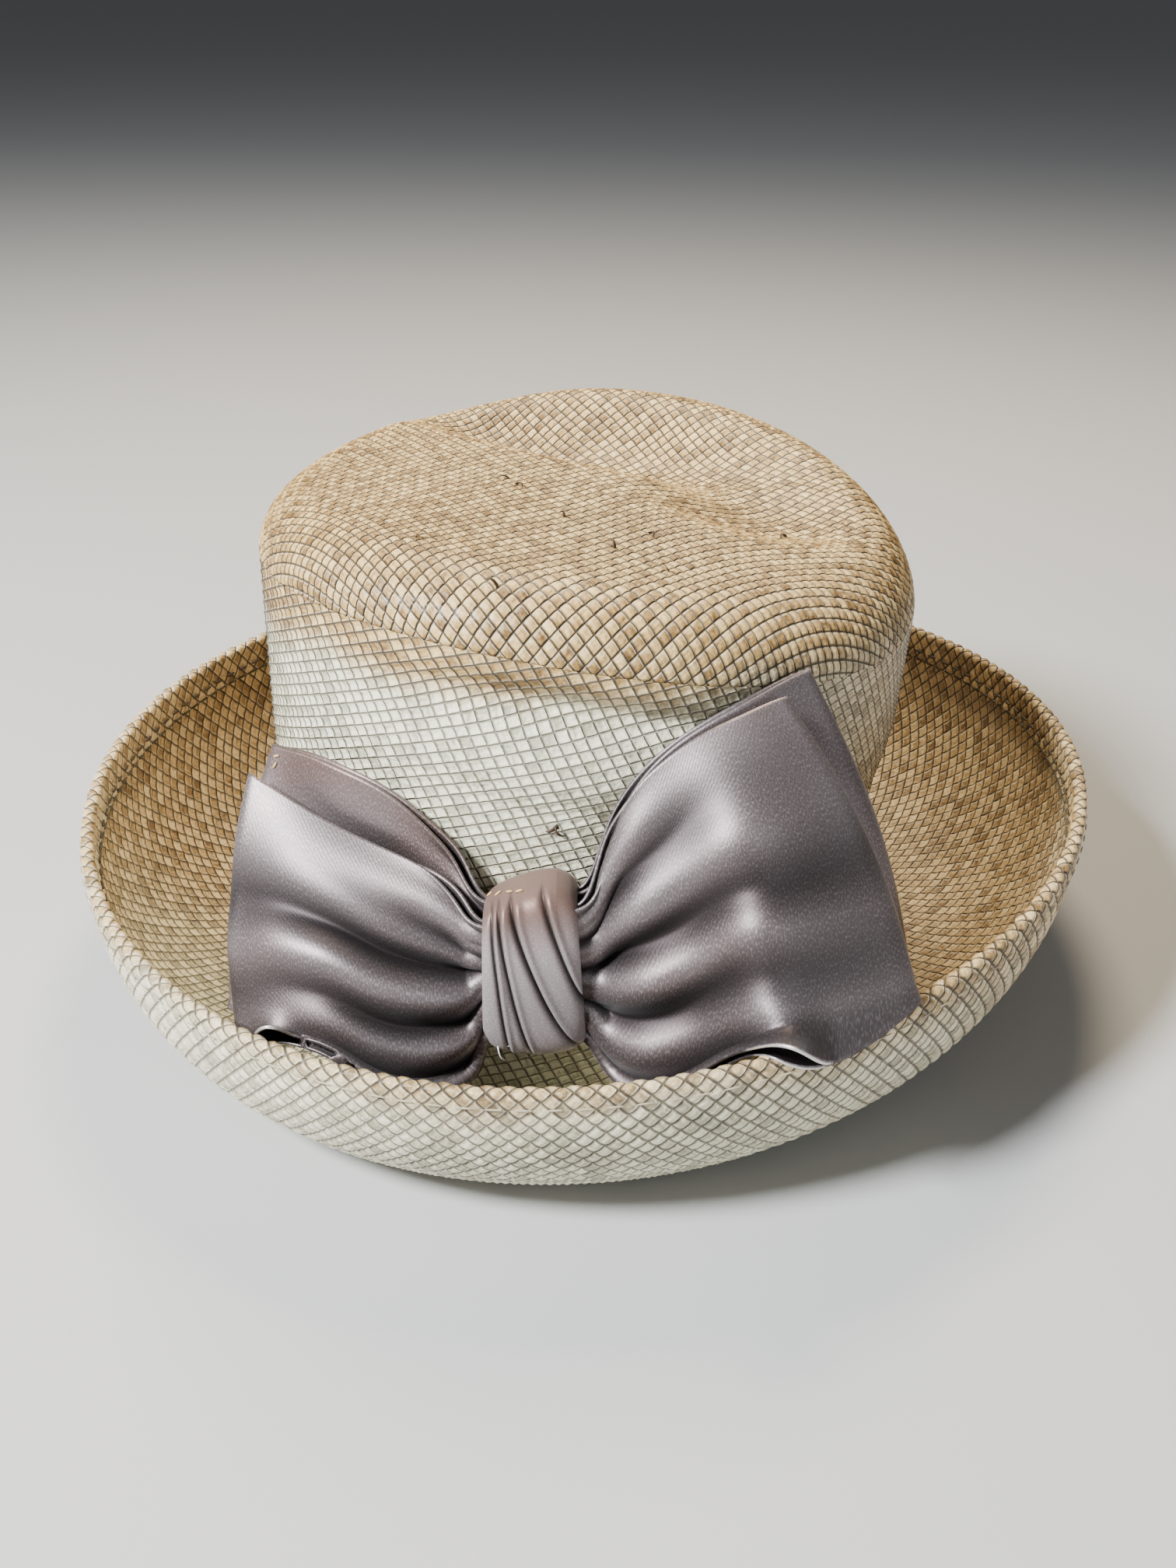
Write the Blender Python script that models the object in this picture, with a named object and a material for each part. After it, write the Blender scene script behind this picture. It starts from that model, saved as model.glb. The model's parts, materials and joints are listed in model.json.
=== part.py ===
"""Woven straw hat with a rolled brim and a satin bow. Sizes in millimetres, scene in metres."""
import bpy
import math
import numpy as np

for old in list(bpy.data.objects):
    bpy.data.objects.remove(old, do_unlink=True)

MM = 0.001

# straw
STRAW_WALL = 2.0
SEAT_GAP = 0.3

# head line, where crown and brim meet
HEAD_HALF_WIDTH = 81.4
HEAD_HALF_LENGTH = 98.7
HEAD_SHIFT_BACK = -0.6

# crown
SHOULDER_HALF_WIDTH = 85.8
SHOULDER_HALF_LENGTH = 97.1
SHOULDER_SHIFT_SIDE = 2.8
SHOULDER_SHIFT_BACK = -0.3
SHOULDER_HEIGHT = 120.4
SHOULDER_TILT_SIDE = -8.6
SHOULDER_TILT_BACK = 0.7
SHOULDER_SADDLE = -5.9
SHOULDER_INSET = 0.21
CROWN_DOME = 15.7
CORNER_TURNS = (0, 25, 50, 72, 90)
CROWN_SEGMENTS = 52

# brim
RIM_HALF_WIDTH = 139.8
RIM_HALF_LENGTH = 157.2
RIM_SHIFT_BACK = 9.8
RIM_HEIGHT = 50.9
RIM_TILT_SIDE = 1.0
RIM_TILT_BACK = 3.0
RIM_SADDLE = 3.3
SEAT_RING_WIDTH = 9.5
HEM_WIDTH = 10.0
HEM_EXTRA = 1.2
BRIM_SEGMENTS = 56

# bow
BOW_TURN = 17.5
BOW_TALL = 115.0
BOW_FORE = 50.0
REACH_RIGHT = 0.6438 * RIM_HALF_WIDTH
REACH_LEFT = 0.5365 * RIM_HALF_WIDTH
RIBBON_WALL = 1.0
LOOP_OPEN = 2.4
LOOP_ACROSS = 11
LIP_FROM = 0.88
LIP_SHARE = 0.045
KNOT_HALF_WIDTH = 11.2
KNOT_HALF_DEPTH = 10.2
KNOT_HALF_HEIGHT = 22.5
KNOT_WALL = 2.2
KNOT_FORE = 10.25
KNOT_UP = 55.0
KNOT_SLANT = 0.10
KNOT_FOLDS = 4
KNOT_FOLD_DEPTH = 1.1

# hollows pressed into the top: side, back, half length and half width as shares of the head half
# width, turn in degrees, depth as a share of the dome
TOP_DENTS = (
    ("valley", -0.16, 0.56, 0.78, 0.27, -6.0, 0.56),
    ("left_pit", -0.52, 0.56, 0.24, 0.16, 0.0, 0.20),
    ("right_pit", 0.56, 0.17, 0.30, 0.24, 20.0, 0.34),
)
# hollows pressed into the wall: bearing and half spread in degrees, height and half height as
# shares of the shoulder height, depth as a share of the dome
WALL_DENTS = (
    ("under_front_edge", -76.0, 34.0, 0.915, 0.065, 0.26),
    ("front_swell", -72.0, 40.0, 0.78, 0.09, -0.10),
    ("pressed_right", 6.0, 46.0, 0.38, 0.37, 0.33),
)

# each loop from knot to fold: way along, then out, up and fore of its upper edge, then of its lower
# edge, forward puff and lip hanging past the lower edge; out by reach, up by tall, the rest by fore
RIGHT_FRONT = (
    (0.00, 0.056, 0.626, 0.272, 0.056, 0.352, 0.272, 0.00, 0.00),
    (0.10, 0.136, 0.626, 0.268, 0.136, 0.352, 0.276, 0.00, 0.00),
    (0.20, 0.165, 0.740, 0.200, 0.180, 0.275, 0.400, 0.04, 0.00),
    (0.35, 0.240, 0.852, 0.130, 0.300, 0.296, 0.580, 0.09, 0.00),
    (0.50, 0.325, 0.908, 0.070, 0.433, 0.360, 0.580, 0.11, 0.00),
    (0.57, 0.366, 0.928, 0.045, 0.500, 0.452, 0.690, 0.11, 0.00),
    (0.67, 0.424, 0.948, 0.010, 0.572, 0.497, 0.780, 0.11, 0.06),
    (0.80, 0.500, 0.970, -0.040, 0.689, 0.489, 0.690, 0.09, 0.16),
    (0.92, 0.563, 0.986, -0.100, 0.833, 0.489, 0.540, 0.05, 0.10),
    (1.00, 0.606, 0.994, -0.130, 0.944, 0.489, 0.400, 0.02, 0.02),
)
RIGHT_BACK = (
    (0.00, 0.056, 0.626, 0.170, 0.056, 0.352, 0.170, 0.00, 0.00),
    (0.10, 0.136, 0.626, 0.168, 0.136, 0.352, 0.168, 0.00, 0.00),
    (0.20, 0.170, 0.735, 0.090, 0.180, 0.295, 0.180, 0.00, 0.00),
    (0.35, 0.250, 0.852, 0.020, 0.300, 0.290, 0.200, 0.00, 0.00),
    (0.50, 0.350, 0.920, -0.045, 0.433, 0.300, 0.200, 0.00, 0.00),
    (0.65, 0.450, 0.962, -0.105, 0.578, 0.320, 0.180, 0.00, 0.00),
    (0.80, 0.545, 0.990, -0.185, 0.733, 0.345, 0.100, 0.00, 0.00),
    (0.92, 0.628, 1.007, -0.300, 0.889, 0.365, 0.000, 0.00, 0.00),
    (1.00, 0.676, 1.010, -0.360, 0.990, 0.375, -0.100, 0.00, 0.00),
)
LEFT_FRONT = (
    (0.00, 0.067, 0.626, 0.272, 0.067, 0.352, 0.272, 0.00, 0.00),
    (0.10, 0.187, 0.622, 0.268, 0.187, 0.352, 0.276, 0.00, 0.00),
    (0.20, 0.227, 0.640, 0.210, 0.220, 0.290, 0.390, 0.04, 0.00),
    (0.35, 0.330, 0.662, 0.110, 0.340, 0.280, 0.530, 0.09, 0.00),
    (0.50, 0.453, 0.676, 0.020, 0.480, 0.310, 0.570, 0.11, 0.00),
    (0.65, 0.587, 0.693, -0.070, 0.627, 0.385, 0.530, 0.11, 0.00),
    (0.80, 0.733, 0.724, -0.180, 0.760, 0.385, 0.450, 0.09, 0.00),
    (0.92, 0.840, 0.752, -0.280, 0.867, 0.340, 0.370, 0.05, 0.00),
    (1.00, 0.911, 0.770, -0.330, 0.927, 0.314, 0.300, 0.02, 0.00),
)
LEFT_BACK = (
    (0.00, 0.067, 0.626, 0.170, 0.067, 0.352, 0.170, 0.00, 0.00),
    (0.10, 0.187, 0.630, 0.168, 0.187, 0.352, 0.168, 0.00, 0.00),
    (0.20, 0.232, 0.668, 0.070, 0.220, 0.290, 0.150, 0.00, 0.00),
    (0.35, 0.330, 0.722, -0.025, 0.340, 0.270, 0.160, 0.00, 0.00),
    (0.50, 0.453, 0.778, -0.115, 0.480, 0.260, 0.140, -0.01, 0.00),
    (0.65, 0.587, 0.807, -0.200, 0.627, 0.260, 0.100, -0.02, 0.00),
    (0.80, 0.707, 0.812, -0.340, 0.773, 0.265, 0.000, -0.02, 0.00),
    (0.92, 0.800, 0.803, -0.450, 0.893, 0.275, -0.060, -0.01, 0.00),
    (1.00, 0.853, 0.798, -0.510, 1.000, 0.295, -0.080, 0.00, 0.00),
)
# gathers: where each runs across the ribbon at the knot and at the fold, and its depth by fore
GATHERS = (
    (0.10, 0.05, 0.020),
    (0.36, 0.28, 0.036),
    (0.60, 0.60, 0.044),
    (0.84, 0.90, 0.036),
)
FOLD_BULGE = 0.045


def blend_rows(rows, way):
    """Smooth values of every column of a table at the given way along."""
    table = np.array([row for row in rows], dtype=float)
    x = table[:, 0]
    y = table[:, 1:]
    chord = np.diff(y, axis=0) / np.diff(x)[:, None]
    both = chord[:-1] * chord[1:]
    mean = 2 * both / np.where(both > 0, chord[:-1] + chord[1:], 1.0)
    slope = np.concatenate([chord[:1], np.where(both > 0, mean, 0.0), chord[-1:]])
    k = np.clip(np.searchsorted(x, way, side="right") - 1, 0, len(x) - 2)
    step = x[k + 1] - x[k]
    t = ((way - x[k]) / step)[:, None]
    step = step[:, None]
    h00 = 2 * t**3 - 3 * t**2 + 1
    h10 = t**3 - 2 * t**2 + t
    h01 = 3 * t**2 - 2 * t**3
    h11 = t**3 - t**2
    return h00 * y[k] + h10 * step * slope[k] + h01 * y[k + 1] + h11 * step * slope[k + 1]


def bearings(count):
    return np.arange(count) * (2 * math.pi / count)


def soft_hollow(distance):
    """One at the middle of a hollow and nothing outside it."""
    inside = np.clip(1 - distance**2, 0, 1)
    return inside**2


def wall_dent(bearing, rise):
    """How far the crown's wall is pressed in at a bearing and a share of the shoulder height."""
    depth = 0.0
    for _, where, spread, height, half, share in WALL_DENTS:
        turn = (np.degrees(bearing) - where + 180) % 360 - 180
        depth = depth + share * CROWN_DOME * soft_hollow(np.hypot(turn / spread, (rise - height) / half))
    return depth


def top_dent(x, y):
    depth = 0.0
    for _, side, back, half_long, half_wide, turn, share in TOP_DENTS:
        c = math.cos(math.radians(turn))
        s = math.sin(math.radians(turn))
        dx = x / HEAD_HALF_WIDTH - side
        dy = y / HEAD_HALF_WIDTH - back
        along = (c * dx + s * dy) / half_long
        across = (c * dy - s * dx) / half_wide
        depth = depth + share * CROWN_DOME * soft_hollow(np.hypot(along, across) / 1.5)
    return depth


def shoulder_height(bearing, share=1.0):
    tilt = SHOULDER_TILT_SIDE * np.cos(bearing) + SHOULDER_TILT_BACK * np.sin(bearing)
    return SHOULDER_HEIGHT + tilt * share + SHOULDER_SADDLE * share**2 * np.cos(2 * bearing)


def rim_height(bearing):
    tilt = RIM_TILT_SIDE * np.cos(bearing) + RIM_TILT_BACK * np.sin(bearing)
    return RIM_HEIGHT + tilt + RIM_SADDLE * np.cos(2 * bearing)


def crown_wall_ring(bearing, rise):
    """One level of the crown's wall, from the head line at 0 to the shoulder at 1."""
    base = STRAW_WALL + SEAT_GAP
    dent = wall_dent(bearing, rise)
    wide = HEAD_HALF_WIDTH + (SHOULDER_HALF_WIDTH - HEAD_HALF_WIDTH) * rise
    long = HEAD_HALF_LENGTH + (SHOULDER_HALF_LENGTH - HEAD_HALF_LENGTH) * rise
    back = HEAD_SHIFT_BACK + (SHOULDER_SHIFT_BACK - HEAD_SHIFT_BACK) * rise
    x = SHOULDER_SHIFT_SIDE * rise + (wide - dent) * np.cos(bearing)
    y = back + (long - dent) * np.sin(bearing)
    z = base + (shoulder_height(bearing) - base) * rise
    return np.stack([x, y, z], 1)


def crown_top_ring(bearing, share):
    """One ring of the crown's top, from the shoulder at 1 to the middle at 0."""
    dent = wall_dent(bearing, 1.0) * share
    x = SHOULDER_SHIFT_SIDE + (SHOULDER_HALF_WIDTH * share - dent) * np.cos(bearing)
    y = SHOULDER_SHIFT_BACK + (SHOULDER_HALF_LENGTH * share - dent) * np.sin(bearing)
    fall = np.clip(1 - (1 - share) / SHOULDER_INSET, 0, 1)
    dome = CROWN_DOME * math.sqrt(1 - fall**2)
    inward = min(1.0, (1 - share) / SHOULDER_INSET)
    z = shoulder_height(bearing, share) + dome - top_dent(x, y) * inward**2 * (3 - 2 * inward)
    return np.stack([x, y, z], 1)


def grid_normals(grid, closed_rows=False, closed_columns=False):
    """Unit normals of a grid of points, rows by columns."""
    def along(axis, closed):
        if closed:
            return np.roll(grid, -1, axis) - np.roll(grid, 1, axis)
        return np.gradient(grid, axis=axis)
    n = np.cross(along(0, closed_rows), along(1, closed_columns))
    return n / np.maximum(np.linalg.norm(n, axis=2, keepdims=True), 1e-9)


def volume_of(points, faces):
    total = 0.0
    for face in faces:
        for i in range(1, len(face) - 1):
            a, b, c = points[face[0]], points[face[i]], points[face[i + 1]]
            total += float(np.dot(a, np.cross(b, c))) / 6
    return total


def add_solid(name, points, faces, material, smooth=True):
    """Make one closed body with outward faces from millimetre points."""
    if volume_of(points, faces) < 0:
        faces = [tuple(reversed(f)) for f in faces]
    mesh = bpy.data.meshes.new(name)
    middle = np.array([0.0, RIM_SHIFT_BACK, 0.0])
    mesh.from_pydata([tuple((p - middle) * MM) for p in points], [], faces)
    mesh.update()
    mesh.polygons.foreach_set("use_smooth", [smooth] * len(mesh.polygons))
    mesh.materials.append(material)
    obj = bpy.data.objects.new(name, mesh)
    bpy.context.collection.objects.link(obj)
    return obj


def ring_faces(first, second, count):
    return [(first + i, first + (i + 1) % count, second + (i + 1) % count, second + i) for i in range(count)]


def make_material(name, colour, rough, sheen=0.0):
    material = bpy.data.materials.new(name)
    material.use_nodes = True
    shader = material.node_tree.nodes["Principled BSDF"]
    shader.inputs["Base Color"].default_value = (*colour, 1)
    shader.inputs["Roughness"].default_value = rough
    shader.inputs["Sheen Weight"].default_value = sheen
    return material


def crown_rows():
    bearing = bearings(CROWN_SEGMENTS)
    rises = (0.0, 0.22, 0.44, 0.62, 0.76, 0.86, 0.92, 0.97)
    corner = [1 - SHOULDER_INSET * (1 - math.cos(math.radians(a))) for a in CORNER_TURNS]
    inner = (0.66, 0.53, 0.40, 0.27, 0.13)
    rows = [crown_wall_ring(bearing, rise) for rise in rises]
    rows += [crown_top_ring(bearing, share) for share in (*corner, *inner)]
    return np.array(rows)


def make_crown(material):
    """The crown: a straw wall and top of one thickness, open below."""
    outer = crown_rows()
    normal = grid_normals(outer, closed_columns=True)
    if normal[0, 0, 0] < 0:
        normal = -normal
    normal[0, :, 2] = 0
    normal[0] /= np.linalg.norm(normal[0], axis=1, keepdims=True)
    inner = outer - normal * STRAW_WALL
    rows, count = outer.shape[:2]
    tip = crown_top_ring(np.zeros(1), 0.0)[0]
    points = np.concatenate([outer.reshape(-1, 3), inner.reshape(-1, 3), [tip, tip - (0, 0, STRAW_WALL)]])
    faces = []
    for k in range(rows - 1):
        faces += ring_faces(k * count, (k + 1) * count, count)
        faces += [tuple(reversed(f)) for f in ring_faces((rows + k) * count, (rows + k + 1) * count, count)]
    faces += [tuple(reversed(f)) for f in ring_faces(0, rows * count, count)]
    last, pole = (rows - 1) * count, 2 * rows * count
    faces += [(last + i, last + (i + 1) % count, pole) for i in range(count)]
    last = (2 * rows - 1) * count
    faces += [(last + (i + 1) % count, last + i, pole + 1) for i in range(count)]
    return add_solid("crown", points, faces, material)


def brim_ring(bearing, swing):
    """One ring of the brim's underside; swing is 0 at the seat ring's edge and 90 at the rim."""
    reach = math.sin(math.radians(swing))
    climb = 1 - math.cos(math.radians(swing))
    wide = HEAD_HALF_WIDTH + SEAT_RING_WIDTH
    long = HEAD_HALF_LENGTH + SEAT_RING_WIDTH
    x = (wide + (RIM_HALF_WIDTH - wide) * reach) * np.cos(bearing)
    back = HEAD_SHIFT_BACK + (RIM_SHIFT_BACK - HEAD_SHIFT_BACK) * reach
    y = back + (long + (RIM_HALF_LENGTH - long) * reach) * np.sin(bearing)
    z = rim_height(bearing) * climb
    return np.stack([x, y, z], 1)


def seat_ring(bearing, out):
    x = (HEAD_HALF_WIDTH + out) * np.cos(bearing)
    y = HEAD_SHIFT_BACK + (HEAD_HALF_LENGTH + out) * np.sin(bearing)
    return np.stack([x, y, 0 * x], 1)


def make_brim(material):
    """The brim: a flat ring to rest on, rolled up to a rim with a turned hem inside it."""
    bearing = bearings(BRIM_SEGMENTS)
    hem_swing = 90 - math.degrees(HEM_WIDTH / RIM_HEIGHT)
    swings = (14, 27, 40, 52, 64, hem_swing - 0.6, hem_swing + 0.6, 84, 90)
    flat = [seat_ring(bearing, -STRAW_WALL), seat_ring(bearing, 0.5 * SEAT_RING_WIDTH)]
    under = np.array(flat + [brim_ring(bearing, a) for a in (0, *swings)])
    normal = grid_normals(under, closed_columns=True)
    if normal[0, 0, 2] < 0:
        normal = -normal
    normal[:3] = (0, 0, 1)
    thick = np.full(len(under), STRAW_WALL)
    thick[-3:] = STRAW_WALL + HEM_EXTRA
    over = under + normal * thick[:, None, None]
    lip = 0.5 * (under[-1] + over[-1])
    lip[:, 2] += 0.5 * STRAW_WALL
    loop = np.concatenate([under, lip[None], over[::-1]])
    rows, count = loop.shape[:2]
    faces = []
    for k in range(rows):
        faces += ring_faces(k * count, ((k + 1) % rows) * count, count)
    return add_solid("brim", loop.reshape(-1, 3), faces, material)


def bow_axes():
    """Origin and directions of the bow: out to the right, fore and up."""
    turn = math.radians(BOW_TURN)
    out = np.array([math.cos(turn), math.sin(turn), 0.0])
    fore = np.array([math.sin(turn), -math.cos(turn), 0.0])
    size = math.hypot(fore[0] * HEAD_HALF_WIDTH, fore[1] * HEAD_HALF_LENGTH)
    x = fore[0] * HEAD_HALF_WIDTH**2 / size
    y = HEAD_SHIFT_BACK + fore[1] * HEAD_HALF_LENGTH**2 / size
    return np.array([x, y, 0.0]), out, fore, np.array([0.0, 0.0, 1.0])


def loop_way():
    """Ways along a loop from knot to fold and the spread of its two layers at each."""
    round_off = LOOP_OPEN / REACH_RIGHT
    ways = [(0.0, 0.75), (0.10, 0.75), (0.20, 0.85), (0.33, 1.0), (0.46, 1.0), (0.57, 1.0), (0.68, 1.0), (0.82, 1.0)]
    for degrees in (0, 35, 65):
        a = math.radians(degrees)
        ways.append((1 - round_off * (1 - math.sin(a)), math.cos(a)))
    ways.append((1.0, 0.0))
    return np.array(ways)


def loop_middle(rows, reach, side, ways, across):
    """Middle surface of a loop, ways by across, with its forward direction."""
    origin, out, fore, up = bow_axes()
    v = blend_rows(rows, ways)
    top = v[:, 0:1] * reach * side * out + v[:, 1:2] * BOW_TALL * up + v[:, 2:3] * BOW_FORE * fore
    low = v[:, 3:4] * reach * side * out + v[:, 4:5] * BOW_TALL * up + v[:, 5:6] * BOW_FORE * fore
    share = np.clip(across / LIP_FROM, 0, 1)[None, :, None]
    lip = np.clip((across - LIP_FROM) / (1 - LIP_FROM), 0, 1)[None, :, None]
    lip_way = 0.62 * fore - 0.78 * up
    grid = top[:, None] * (1 - share) + low[:, None] * share
    across_way = low - top
    facing = np.cross(across_way, out)
    facing /= np.linalg.norm(facing, axis=1, keepdims=True)
    facing *= np.sign(facing @ fore)[:, None]
    puff = v[:, 6:7] * BOW_FORE
    grid = grid + (puff[:, :, None] * np.sin(math.pi * share)) * facing[:, None]
    hang = v[:, 7:8, None] * BOW_FORE
    grid = grid + lip * (hang * lip_way + LIP_SHARE * across_way[:, None])
    bulge = FOLD_BULGE * reach * ways[:, None, None]**2 * np.sin(math.pi * share)
    grid = grid + bulge * side * out
    for at_knot, at_fold, depth in GATHERS:
        line = (at_knot + (at_fold - at_knot) * ways)[:, None]
        width = (0.09 + 0.06 * ways)[:, None]
        fade = (np.clip((ways - 0.1) / 0.15, 0, 1) * (1 - ways)**1.3)[:, None]
        press = depth * BOW_FORE * fade * np.exp(-((across[None] - line) / width)**2)
        grid = grid - press[:, :, None] * facing[:, None]
    return grid + origin


def make_loop(name, rows, reach, side, material):
    """One ribbon loop: out from the knot, round the fold and back, open above and below."""
    ways = loop_way()
    across = np.append(np.linspace(0, LIP_FROM, LOOP_ACROSS), 1.0)
    middle = loop_middle(rows, reach, side, ways[:, 0], across)
    facing = grid_normals(middle)
    facing *= np.sign(facing @ bow_axes()[2])[:, :, None]
    spread = (ways[:, 1] * LOOP_OPEN / 2)[:, None, None] * facing
    sheet = np.concatenate([middle + spread, (middle - spread)[-2::-1]])
    normal = grid_normals(sheet)
    half = RIBBON_WALL / 2
    m, k = sheet.shape[:2]
    points = np.concatenate([(sheet + normal * half).reshape(-1, 3), (sheet - normal * half).reshape(-1, 3)])
    faces = []
    for i in range(m - 1):
        for j in range(k - 1):
            a = i * k + j
            faces.append((a, a + 1, a + k + 1, a + k))
            faces.append((m * k + a, m * k + a + k, m * k + a + k + 1, m * k + a + 1))
    border = [i * k for i in range(m)] + [(m - 1) * k + j for j in range(1, k)]
    border += [i * k + k - 1 for i in range(m - 2, -1, -1)] + [j for j in range(k - 2, 0, -1)]
    for a, b in zip(border, border[1:] + border[:1]):
        faces.append((a, b, b + m * k, a + m * k))
    return add_solid(name, points, faces, material)


def knot_section(angle, depth, height, fold=0.0):
    """A rounded oblong around the necks."""
    c, s = math.cos(angle), math.sin(angle)
    power = 2 / 4.5
    return (depth + fold) * math.copysign(abs(c)**power, c), height * math.copysign(abs(s)**power, s)


def make_knot(material):
    """The knot: a ribbon sleeve round the four necks, folded on the slant in front."""
    origin, out, fore, up = bow_axes()
    around, stations = 28, 6
    rows = []
    for layer in (0, 1):
        lengths = range(stations + 1) if layer == 0 else range(stations, -1, -1)
        for k in lengths:
            t = -1 + 2 * k / stations
            waist = 1 - 0.06 * t * t
            row = []
            for i in range(around):
                a = 2 * math.pi * i / around
                front = max(0.0, math.cos(a))
                slant = KNOT_SLANT * math.sin(a)
                wave = math.cos(math.pi * KNOT_FOLDS * (t + 0.9 * math.sin(a)))
                fold = KNOT_FOLD_DEPTH * wave * front**0.5 if layer == 0 else 0.0
                shrink = 0 if layer == 0 else KNOT_WALL
                d, h = knot_section(a, KNOT_HALF_DEPTH * waist - shrink, KNOT_HALF_HEIGHT * waist - shrink, fold)
                along = KNOT_HALF_WIDTH * (t + slant) - 1.0
                row.append(origin + out * along + fore * (KNOT_FORE + d) + up * (KNOT_UP + h))
            rows.append(row)
    loop = np.array(rows)
    count = around
    faces = []
    for k in range(len(loop)):
        faces += ring_faces(k * count, ((k + 1) % len(loop)) * count, count)
    return add_solid("bow_knot", loop.reshape(-1, 3), faces, material)


def build():
    straw = make_material("straw_crown", (0.46, 0.37, 0.24), 0.55)
    straw_brim = make_material("straw_brim", (0.44, 0.35, 0.22), 0.58)
    satin = make_material("satin_ribbon", (0.10, 0.075, 0.075), 0.32, 0.3)
    satin_knot = make_material("satin_knot", (0.12, 0.085, 0.080), 0.34, 0.3)
    make_crown(straw)
    make_brim(straw_brim)
    make_loop("bow_left_front_loop", LEFT_FRONT, REACH_LEFT, -1, satin)
    make_loop("bow_left_back_loop", LEFT_BACK, REACH_LEFT, -1, satin)
    make_loop("bow_right_front_loop", RIGHT_FRONT, REACH_RIGHT, 1, satin)
    make_loop("bow_right_back_loop", RIGHT_BACK, REACH_RIGHT, 1, satin)
    make_knot(satin_knot)


build()
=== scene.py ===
"""A woven straw hat with a rolled brim and a satin bow, dressed over its solid model."""
import json
import math

import bmesh
import bpy
import numpy as np
from mathutils import Matrix, Vector
from bpy.props import FloatProperty, FloatVectorProperty, IntProperty, PointerProperty

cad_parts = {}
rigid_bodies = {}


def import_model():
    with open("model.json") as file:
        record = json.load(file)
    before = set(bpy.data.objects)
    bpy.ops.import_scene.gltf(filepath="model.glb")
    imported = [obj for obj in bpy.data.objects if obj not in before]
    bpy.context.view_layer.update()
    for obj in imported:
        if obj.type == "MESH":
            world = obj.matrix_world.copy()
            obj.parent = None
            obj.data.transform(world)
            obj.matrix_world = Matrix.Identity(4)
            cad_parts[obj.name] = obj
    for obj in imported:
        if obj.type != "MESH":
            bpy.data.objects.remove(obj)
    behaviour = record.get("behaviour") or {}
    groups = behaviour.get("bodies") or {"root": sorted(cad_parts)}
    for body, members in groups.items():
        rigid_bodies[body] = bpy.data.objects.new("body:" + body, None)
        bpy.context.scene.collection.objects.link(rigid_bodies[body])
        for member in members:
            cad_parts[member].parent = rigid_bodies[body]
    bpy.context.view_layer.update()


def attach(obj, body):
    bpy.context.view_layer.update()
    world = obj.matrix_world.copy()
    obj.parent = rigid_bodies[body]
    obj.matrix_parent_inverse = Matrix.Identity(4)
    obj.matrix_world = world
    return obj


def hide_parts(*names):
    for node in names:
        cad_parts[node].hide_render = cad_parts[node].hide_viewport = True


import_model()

bl_info = {
    "name": "Straw hat",
    "version": (1, 0, 0),
    "blender": (4, 5, 0),
    "location": "View3D > Sidebar > Straw hat",
    "description": "A woven straw hat with a rolled brim and a satin bow",
    "category": "Object",
}

MM = 0.001

# crown and brim sizes in millimetres, the same as the solid model's
STRAW_WALL = 2.0
SEAT_GAP = 0.3
HEAD_HALF_WIDTH = 81.4
HEAD_HALF_LENGTH = 98.7
HEAD_SHIFT_BACK = -0.6
SHOULDER_HALF_WIDTH = 85.8
SHOULDER_HALF_LENGTH = 97.1
SHOULDER_SHIFT_SIDE = 2.8
SHOULDER_SHIFT_BACK = -0.3
SHOULDER_HEIGHT = 120.4
SHOULDER_TILT_SIDE = -8.6
SHOULDER_TILT_BACK = 0.7
SHOULDER_SADDLE = -5.9
SHOULDER_INSET = 0.21
CROWN_DOME = 15.7
RIM_HALF_WIDTH = 139.8
RIM_HALF_LENGTH = 157.2
RIM_SHIFT_BACK = 9.8
RIM_HEIGHT = 50.9
RIM_TILT_SIDE = 1.0
RIM_TILT_BACK = 3.0
RIM_SADDLE = 3.3
SEAT_RING_WIDTH = 9.5
HEM_WIDTH = 10.0
HEM_EXTRA = 1.2
# hollows pressed into the top, deeper than the solid model's: side, back, half length and half width
# as shares of the head half width, turn in degrees, depth as a share of the dome
TOP_DENTS = (
    ("valley", -0.08, 0.55, 0.70, 0.29, -6.0, 0.78),
    ("left_pit", -0.46, 0.52, 0.24, 0.17, 0.0, 0.22),
    ("right_pit", 0.56, 0.17, 0.30, 0.24, 20.0, 0.42),
)
# hollows pressed into the wall: bearing and half spread in degrees, height and half height as
# shares of the shoulder height, depth as a share of the dome
WALL_DENTS = (
    ("under_front_edge", -76.0, 34.0, 0.915, 0.065, 0.26),
    ("front_swell", -72.0, 40.0, 0.78, 0.09, -0.10),
    ("pressed_right", 6.0, 46.0, 0.38, 0.37, 0.33),
)

# bow sizes in millimetres, those of the solid model with the knot's skew and the smoothing added
BOW_TURN = 17.5
BOW_TALL = 115.0
BOW_FORE = 50.0
REACH_RIGHT = 0.6438 * RIM_HALF_WIDTH
REACH_LEFT = 0.5365 * RIM_HALF_WIDTH
LOOP_OPEN = 2.4
LIP_FROM = 0.88
LIP_SHARE = 0.045
KNOT_HALF_WIDTH = 11.2
KNOT_HALF_DEPTH = 10.2
KNOT_HALF_HEIGHT = 22.5
KNOT_WALL = 2.2
KNOT_FORE = 10.25
KNOT_UP = 55.0
KNOT_SKEW = 0.22
ROW_SMOOTHING = 40
FOLD_BULGE = 0.045
RIBBON_HALF = 0.35
CURL_FROM = 0.78
CURL_SPREAD = 1.6
ARCH_DARK_ROWS = 26

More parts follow.
